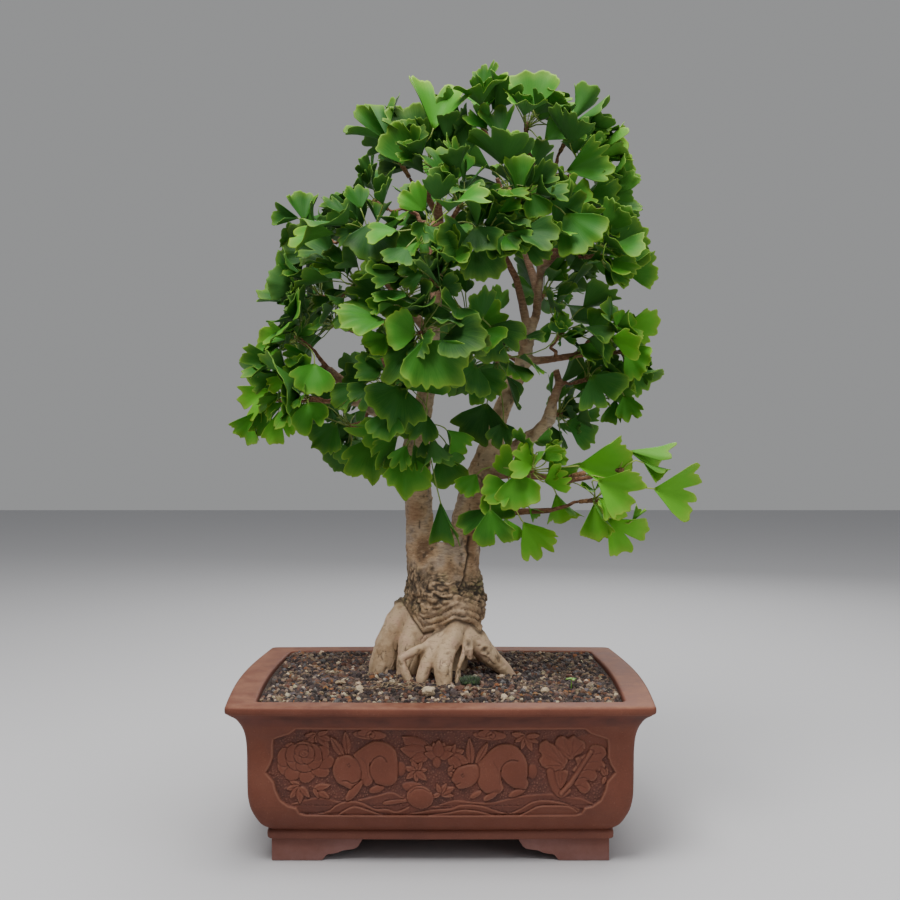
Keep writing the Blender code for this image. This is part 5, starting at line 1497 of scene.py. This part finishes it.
def clay_material():
    made, tree, shader = material("unglazed_clay", 0.66)
    deep, rim, foot, worn_and_highlit = channels(tree, "clay")
    body = ramp(tree, noise_socket(tree, 14.0, 5.0, 0.6), (
        (0.30, (0.117, 0.033, 0.0185)), (0.50, (0.147, 0.043, 0.024)), (0.70, (0.174, 0.055, 0.031)),
    ))
    speck = noise_socket(tree, 620.0, 3.0, 0.6)
    body = mix(tree, shares(tree, speck, (0.34, 0.30), (0.47, 0.0)), body, (0.085, 0.030, 0.020))
    body = mix(tree, shares(tree, speck, (0.62, 0.0), (0.76, 0.38)), body, (0.33, 0.155, 0.105))
    dust = noise_socket(tree, 46.0, 4.0, 0.65)
    dusty = times(tree, shares(tree, dust, (0.40, 0.1), (0.66, 0.55)), rim)
    body = mix(tree, dusty, body, (0.31, 0.155, 0.095))
    chalky = times(tree, shares(tree, dust, (0.3, 0.35), (0.7, 0.85)), foot)
    body = mix(tree, chalky, body, (0.270, 0.138, 0.124))
    dusted = shares(tree, dust, (0.35, 0.0), (0.65, 1.0))
    # The deep channel darkens the clay to a dark purple-brown: a painted shade in the panels' ground and
    # crevices and below the lip.
    recess_shade = mix(tree, dusted, (0.068, 0.022, 0.016), (0.125, 0.040, 0.027))
    body = mix(tree, times(tree, deep, 0.9), body, recess_shade)
    # Raised edges of the relief lighter: wear and a painted highlight.
    body = mix(tree, times(tree, worn_and_highlit, 0.55), body, (0.26, 0.115, 0.072))
    link(tree, shares(tree, dust, (0.3, 0.58), (0.7, 0.74)), shader.inputs["Roughness"])
    shader.inputs["Specular IOR Level"].default_value = 0.35
    coarse = bump(tree, noise_socket(tree, 150.0, 4.0, 0.6), 0.28, 0.0006)
    dress(tree, shader, body, bump(tree, speck, 0.30, 0.0003, coarse))
    return made


clay = clay_material()
make_pot()
make_panel("carved_front", 0, -1, 0.75, carve_long_panel)
make_panel("carved_back", 0, 1, 1.0, carve_long_panel, mirrored=True)
make_panel("carved_left_end", 1, -1, 1.1, carve_short_panel)
make_panel("carved_right_end", 1, 1, 1.1, carve_short_panel)


# The grains lie in staggered rows inside the pot's rim, and spare ones take the place of those in the wood
GRAINS = 6800
SPARE_GRAINS = 1500
GRAIN_PITCH = 4.9
ROW_PITCH = GRAIN_PITCH * 0.87
SMALLEST_GRAIN, LARGEST_GRAIN = 1.5, 5.2
INNER_HALF = (198.5, 148.5)
# Small pale stones, as (x, y, radius) in millimetres
PALE_GRAINS = (
    (-94, -66, 5.0), (-56, -64, 4.6), (-60, -76, 4.2), (-47, -71, 3.6), (96, -112, 3.8), (-150, -96, 4.0),
    (164, -40, 4.2), (-20, -92, 3.2), (60, -96, 3.4), (-110, -40, 4.2), (120, 60, 4.8), (-90, 90, 4.6),
)
GRAIN_CORNERS = 12
# Where a ray for the soil's height starts, the height where it finds none, and how far off wood is looked for
ABOVE_SOIL = 0.4
SOIL_LEVEL = 0.17
WOOD_REACH = 0.12


def ground_tree(name):
    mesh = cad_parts[name].data
    return BVHTree.FromPolygons([v.co for v in mesh.vertices], [tuple(p.vertices) for p in mesh.polygons])


soil_ground = ground_tree("soil")
wood = ground_tree("trunk")


def ground_at(x, y):
    """The height of the soil at a place given from the pot's middle."""
    hit = soil_ground.ray_cast(Vector((pot_x + x, pot_y + y, ABOVE_SOIL)), Vector((0, 0, -1)))[0]
    return hit.z if hit else SOIL_LEVEL


def in_wood(place):
    near, normal, _, away = wood.find_nearest(place)
    return away < WOOD_REACH and (place - near).dot(normal) < -0.4 * MM


def grain_spots():
    """Where the grains lie, their sizes and whether they are pale stones."""
    draw = random.Random(21)
    spots = [(x * MM, y * MM, r * MM, True) for x, y, r in PALE_GRAINS]
    for row in range(int(2 * INNER_HALF[1] / ROW_PITCH) + 1):
        for column in range(int(2 * INNER_HALF[0] / GRAIN_PITCH) + 1):
            radius = min(max(draw.gauss(2.75, 0.8), SMALLEST_GRAIN), LARGEST_GRAIN)
            x = -INNER_HALF[0] + (column + 0.5 * (row % 2)) * GRAIN_PITCH + draw.uniform(-1.5, 1.5)
            y = -INNER_HALF[1] + row * GRAIN_PITCH * 0.87 + draw.uniform(-1.5, 1.5)
            spots.append((x * MM, y * MM, radius * MM, False))
    while len(spots) < GRAINS + SPARE_GRAINS:
        x, y = draw.uniform(-1, 1) * INNER_HALF[0], draw.uniform(-1, 1) * INNER_HALF[1]
        radius = min(max(draw.gauss(2.9, 0.9), SMALLEST_GRAIN), LARGEST_GRAIN)
        spots.append((x * MM, y * MM, radius * MM, False))
    kept = []
    for x, y, radius, pale in spots:
        z = ground_at(x, y) + radius * draw.uniform(0.0, 0.42)
        place = Vector((pot_x + x, pot_y + y, z))
        if abs(x) < (INNER_HALF[0] + 1.5) * MM and abs(y) < (INNER_HALF[1] + 1.5) * MM and not in_wood(place):
            kept.append((place, radius, pale))
    return kept[:GRAINS]


# The grains' colours, each with its share of them
GRAIN_TONES = (
    ((0.040, 0.028, 0.028), 0.24), ((0.080, 0.056, 0.052), 0.18), ((0.130, 0.085, 0.066), 0.16),
    ((0.140, 0.066, 0.044), 0.11), ((0.220, 0.150, 0.100), 0.11), ((0.320, 0.240, 0.165), 0.07),
    ((0.500, 0.400, 0.280), 0.04), ((0.270, 0.115, 0.045), 0.03), ((0.150, 0.130, 0.130), 0.06),
)
PALE_TONE = 6


def make_grains():
    """The top layer of the soil: crushed lava, pumice and baked clay."""
    spots = grain_spots()
    bm = bmesh.new()
    bmesh.ops.create_icosphere(bm, subdivisions=1, radius=1.0)
    count = len(spots)
    while len(bm.verts) < GRAIN_CORNERS * count:
        bmesh.ops.duplicate(bm, geom=bm.verts[:] + bm.edges[:] + bm.faces[:])
    bm.verts.ensure_lookup_table()
    bmesh.ops.delete(bm, geom=bm.verts[GRAIN_CORNERS * count:], context="VERTS")
    mesh = made_mesh("soil_grains", bm)
    unit = mesh_places(mesh).reshape(count, GRAIN_CORNERS, 3)
    dice = np.random.default_rng(5)
    places = unit * dice.uniform(0.74, 1.18, (count, GRAIN_CORNERS, 1))
    places *= dice.uniform(0.72, 1.2, (count, 1, 3))
    turns = dice.normal(size=(count, 4))
    turns /= np.linalg.norm(turns, axis=1)[:, None]
    w, x, y, z = turns.T
    turning = np.stack([
        np.stack([1 - 2 * (y * y + z * z), 2 * (x * y - z * w), 2 * (x * z + y * w)], axis=1),
        np.stack([2 * (x * y + z * w), 1 - 2 * (x * x + z * z), 2 * (y * z - x * w)], axis=1),
        np.stack([2 * (x * z - y * w), 2 * (y * z + x * w), 1 - 2 * (x * x + y * y)], axis=1),
    ], axis=1)
    places = np.einsum("nij,nkj->nki", turning, places)
    sizes = np.array([radius for _, radius, _ in spots])
    middles = np.array([place for place, _, _ in spots])
    places = places * sizes[:, None, None] + middles[:, None, :]
    move_mesh(mesh, places.reshape(-1, 3))
    tones = np.array([tone for tone, _ in GRAIN_TONES])
    odds = np.array([share for _, share in GRAIN_TONES])
    picked = dice.choice(len(tones), count, p=odds / odds.sum())
    picked[[pale for _, _, pale in spots]] = PALE_TONE
    colour = tones[picked] * dice.uniform(0.7, 1.25, (count, 1)) * dice.uniform(0.93, 1.07, (count, 3))
    colour = np.column_stack([colour, dice.random(count)])
    paint(mesh, "grit", *np.repeat(colour, GRAIN_CORNERS, axis=0).T)
    finish_mesh("soil_grains", mesh, [grit_material()], "lava_and_pumice_soil", sharp=24)


def grit_material():
    made, tree, shader = material("grit", 0.88)
    tone = attribute(tree, "grit").outputs["Color"]
    pores = noise_socket(tree, 1100.0, 3.0, 0.7)
    shading = shares(tree, pores, (0.30, 0.42), (0.52, 1.0), (0.72, 1.5))
    dress(tree, shader, mix(tree, 1.0, tone, shading, "MULTIPLY"), bump(tree, pores, 0.8, 0.0009))
    return made


def soil_material():
    made, tree, shader = material("soil_bed", 0.95)
    grains = node(tree, "ShaderNodeTexVoronoi", Scale=260.0)
    link(tree, tree.nodes.new("ShaderNodeTexCoord").outputs["Object"], grains.inputs["Vector"])
    tones = ((0.3, (0.020, 0.014, 0.012)), (0.7, (0.085, 0.055, 0.042)))
    dress(tree, shader, ramp(tree, noise_socket(tree, 240.0), tones),
          bump(tree, grains.outputs["Distance"], 0.9, 0.003))
    return made


def straw_material():
    made, tree, shader = material("dry_straw", 0.8)
    fibre = noise_socket(tree, 380.0, 4.0, 0.6)
    tones = ((0.3, (0.20, 0.13, 0.07)), (0.7, (0.52, 0.40, 0.25)))
    dress(tree, shader, ramp(tree, fibre, tones), bump(tree, fibre, 0.5, 0.0006))
    return made


def green_material(name, roughness, scale, tones, sheen):
    made, tree, shader = material(name, roughness)
    link(tree, ramp(tree, noise_socket(tree, scale), tones), shader.inputs["Base Color"])
    shader.inputs["Sheen Weight"].default_value = sheen
    return made


# Hairs and straws: how many, the ranges of their first x, y and turn, and each one's points, step and radius
LITTER = (
    (11, (-98, -22), (-96, -66), (-0.5, 0.7), 9, 3.6, 0.42),
    (6, (-60, -20), (-70, -60), (3.6, 5.6), 7, 3.2, 0.40),
    (30, (-185, 185), (-138, 138), (0, WHOLE_TURN), 4, 4.6, 0.55),
)
LONG_STRAW = (34, -96, -0.05, 6, 5.0, 0.6)
FLAKE = (-116, -62, 4.5)


def make_litter():
    """Root hairs, bits of straw and a dry flake that lie on the grains."""
    draw = random.Random(33)
    bm = bmesh.new()
    runs = [(draw.uniform(*x), draw.uniform(*y), draw.uniform(*turn), *kind)
            for many, x, y, turn, *kind in LITTER for _ in range(many)]
    for x, y, turn, count, step, radius in [*runs, LONG_STRAW]:
        points = []
        for k in range(count):
            lift = (4.0 + 1.4 * math.sin(k * 1.3 + turn)) * MM
            points.append(Vector((pot_x + x * MM, pot_y + y * MM, ground_at(x * MM, y * MM) + lift)))
            turn += draw.uniform(-0.35, 0.35)
            x += step * math.cos(turn)
            y += step * math.sin(turn)
        if any(in_wood(p) for p in points):
            continue
        add_tube(bm, points, [radius * MM * (1 - 0.5 * k / count) for k in range(count)], 5, 0)
    flake = bmesh.ops.create_circle(bm, cap_ends=True, segments=9, radius=5 * MM)["verts"]
    for k, v in enumerate(flake):
        v.co.x *= 1.3
        v.co.z = 1.1 * MM * math.sin(k * 1.7)
    top = bmesh.ops.extrude_face_region(bm, geom=list({f for v in flake for f in v.link_faces}))["geom"]
    top = of_kind(top, VERT)
    bmesh.ops.translate(bm, vec=(0, 0, 0.7 * MM), verts=top)
    x, y, lift = (value * MM for value in FLAKE)
    bmesh.ops.translate(bm, vec=(pot_x + x, pot_y + y, ground_at(x, y) + lift), verts=top + flake)
    bmesh.ops.recalc_face_normals(bm, faces=bm.faces)
    litter = made_mesh("roots_and_straw", bm)
    finish_mesh("roots_and_straw", litter, [straw_material()], "lava_and_pumice_soil")


MOSS_BLADES = 260


def make_moss():
    """A tuft of moss: fine upright blades over a soft cushion."""
    draw = random.Random(9)
    low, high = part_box("moss")
    middle, size = (low + high) / 2, high - low
    bm = bmesh.new()
    bmesh.ops.create_icosphere(bm, subdivisions=3, radius=1.0)
    for v in bm.verts:
        lump = 1 + 0.16 * noise.noise(v.co * 2.6)
        v.co = v.co * size * Vector((0.52, 0.52, 0.55)) * lump + middle
    for _ in range(MOSS_BLADES):
        a, share = draw.uniform(0, WHOLE_TURN), math.sqrt(draw.random())
        foot = middle + size * Vector((math.cos(a) * share * 0.5, math.sin(a) * share * 0.5,
                                       0.4 * (1 - share * share)))
        lean = Vector((math.cos(a) * share, math.sin(a) * share + 0.3, 0)) * draw.uniform(1, 4) * MM
        tall = draw.uniform(2, 6.5) * MM
        points = [foot - Vector((0, 0, 1.5 * MM)), foot + Vector((0, 0, tall * 0.5)) + lean * 0.3,
                  foot + Vector((0, 0, tall)) + lean]
        add_tube(bm, points, [0.5 * MM, 0.42 * MM, 0.12 * MM], 4, 0)
    bmesh.ops.recalc_face_normals(bm, faces=bm.faces)
    tones = ((0.3, (0.006, 0.016, 0.003)), (0.5, (0.014, 0.042, 0.005)), (0.7, (0.045, 0.105, 0.012)))
    finish = green_material("moss_green", 0.8, 420.0, tones, 0.25)
    finish_mesh("moss_tuft", made_mesh("moss_tuft", bm), [finish], "moss", "moss")


def make_seedling():
    """A young weed with a thin stem and four bright oval leaves."""
    low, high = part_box("seedling")
    foot = Vector(((low.x + high.x) / 2, (low.y + high.y) / 2, low.z))
    bm = bmesh.new()
    top = foot + Vector((0.6 * MM, 0, 11.2 * MM))
    add_tube(bm, [foot - Vector((0, 0, MM)), foot.lerp(top, 0.5) + Vector((0.7 * MM, 0, 0)), top],
             [0.7 * MM, 0.6 * MM, 0.5 * MM], 8, 0)
    for k in range(4):
        turn = math.radians(18 + 90 * k)
        out = Vector((math.cos(turn), math.sin(turn), 0))
        across = Vector((0, 0, 1)).cross(out)
        grid = bmesh.ops.create_grid(bm, x_segments=8, y_segments=6, size=1.0)["verts"]
        faces = list({f for v in grid for f in v.link_faces})
        long = (7.0 if k % 2 else 6.2) * MM
        for v in grid:
            u, w = (v.co.x + 1) / 2, v.co.y
            wide = 2.3 * MM * math.sin(math.pi * min(max(u, 0.02), 0.98)) ** 0.7 + 0.12 * MM
            v.co = (top + out * (0.3 * MM + long * u) + across * (wide * w)
                    + Vector((0, 0, (1.5 * u - 1.4 * u * u + 0.35 * w * w) * 2 * MM)))
        bmesh.ops.solidify(bm, geom=faces, thickness=0.35 * MM)
    bmesh.ops.recalc_face_normals(bm, faces=bm.faces)
    tones = ((0.3, (0.10, 0.30, 0.015)), (0.7, (0.24, 0.48, 0.04)))
    finish = green_material("weed_green", 0.45, 300.0, tones, 0.1)
    finish_mesh("weed_seedling", made_mesh("weed_seedling", bm), [finish], "ginkgo_leaf", "seedling")


def make_pumice(name, node_name, seed, finish):
    """A pumice stone: a worn, pitted lump."""
    low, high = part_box(node_name)
    middle = (low + high) / 2
    half = (high - low) / 2
    bm = bmesh.new()
    bmesh.ops.create_icosphere(bm, subdivisions=4, radius=1.0)
    shift = Vector((seed * 7.3, seed * 3.1, 0))
    for v in bm.verts:
        lump = 0.98 + 0.30 * noise.noise(v.co * 1.3 + shift) + 0.16 * noise.noise(v.co * 3.1 + shift)
        pit = noise.noise(v.co * 7.5 + shift)
        lump -= 0.10 * max(pit - 0.15, 0)
        v.co = v.co * half * lump * 1.02 + middle
    finish_mesh(name, made_mesh(name, bm), [finish], "pumice", node_name)


def pumice_material():
    made, tree, shader = material("pale_pumice", 0.85)
    pores = noise_socket(tree, 700.0, 4.0, 0.65)
    tone = ramp(tree, noise_socket(tree, 130.0, 3.0), ((0.3, (0.40, 0.30, 0.19)), (0.6, (0.60, 0.49, 0.34))))
    tone = mix(tree, shares(tree, pores, (0.32, 0.75), (0.46, 0.0)), tone, (0.24, 0.17, 0.11))
    dress(tree, shader, tone, bump(tree, pores, 0.7, 0.0010))
    return made


def screen_material():
    made, tree, shader = material("black_netting", 0.5)
    tones = ((0.35, (0.012, 0.013, 0.012)), (0.7, (0.035, 0.034, 0.030)))
    dress(tree, shader, ramp(tree, noise_socket(tree, 200.0, 4.0), tones),
          bump(tree, noise_socket(tree, 900.0), 0.25, 0.0003))
    return made


def wire_material():
    made, tree, shader = material("aluminium_wire", 0.38, 1.0)
    marks = noise_socket(tree, 260.0, 4.0, 0.6)
    tones = ((0.3, (0.30, 0.29, 0.28)), (0.7, (0.62, 0.61, 0.60)))
    link(tree, ramp(tree, marks, tones), shader.inputs["Base Color"])
    link(tree, shares(tree, marks, (0.3, 0.55), (0.7, 0.32)), shader.inputs["Roughness"])
    return made


make_grains()
make_litter()
make_moss()
make_seedling()
pale_pumice = pumice_material()
for number in range(1, 5):
    make_pumice(f"pumice_{number}", f"pumice_stone_{number}", number, pale_pumice)
for finish, *node_names in (
    (soil_material(), "soil"), (screen_material(), "drainage_screen_left", "drainage_screen_right"),
    (wire_material(), "screen_clip_left", "screen_clip_right"),
):
    for node_name in node_names:
        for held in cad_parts[node_name].material_slots:
            held.material = finish

floor_bm = bmesh.new()
bmesh.ops.create_grid(floor_bm, x_segments=2, y_segments=2, size=6.0)
floor_mesh = made_mesh("floor", floor_bm)
floor = add_object("floor", floor_mesh)
floor_finish, _, floor_shader = material("pale_floor", 0.85)
floor_shader.inputs["Base Color"].default_value = (0.52, 0.52, 0.54, 1.0)
floor_mesh.materials.append(floor_finish)

world = bpy.data.worlds.new("studio")
world.use_nodes = True
background = world.node_tree.nodes["Background"]
background.inputs["Color"].default_value = (0.86, 0.87, 0.88, 1.0)
background.inputs["Strength"].default_value = 0.36
bpy.context.scene.world = world


# The lamps: name, place, width, power and colour. All face the middle of the tree.
LAMPS = (
    ("key_light", (-0.55, -1.15, 2.5), 1.2, 60, (1.0, 0.98, 0.95)),
    ("fill_light", (1.6, -1.5, 1.2), 1.6, 10, (1, 1, 1)),
    ("top_light", (0.15, -0.1, 2.5), 1.5, 44, (1.0, 0.99, 0.96)),
    ("back_light", (0.5, 2.0, 1.5), 1.6, 16, (1.0, 0.99, 0.97)),
)
for name, place, width, power, colour in LAMPS:
    light = bpy.data.lights.new(name, "AREA")
    light.shape = "DISK"
    light.size = width
    light.energy = power
    light.color = colour
    lamp = add_object(name, light)
    lamp.location = place
    lamp.rotation_euler = (Vector((pot_x, pot_y, 0.45)) - Vector(place)).to_track_quat("-Z", "Y").to_euler()

camera_data = bpy.data.cameras.new("camera")
camera_data.lens = LENS
camera_data.sensor_width = 36.0
camera_data.shift_x = SHIFT_X
camera_data.shift_y = SHIFT_Y
camera = add_object("camera", camera_data)
camera.location = (pot_x, pot_y - EYE_BACK, EYE_UP)
camera.rotation_euler = (math.radians(90), 0, 0)
bpy.context.scene.camera = camera
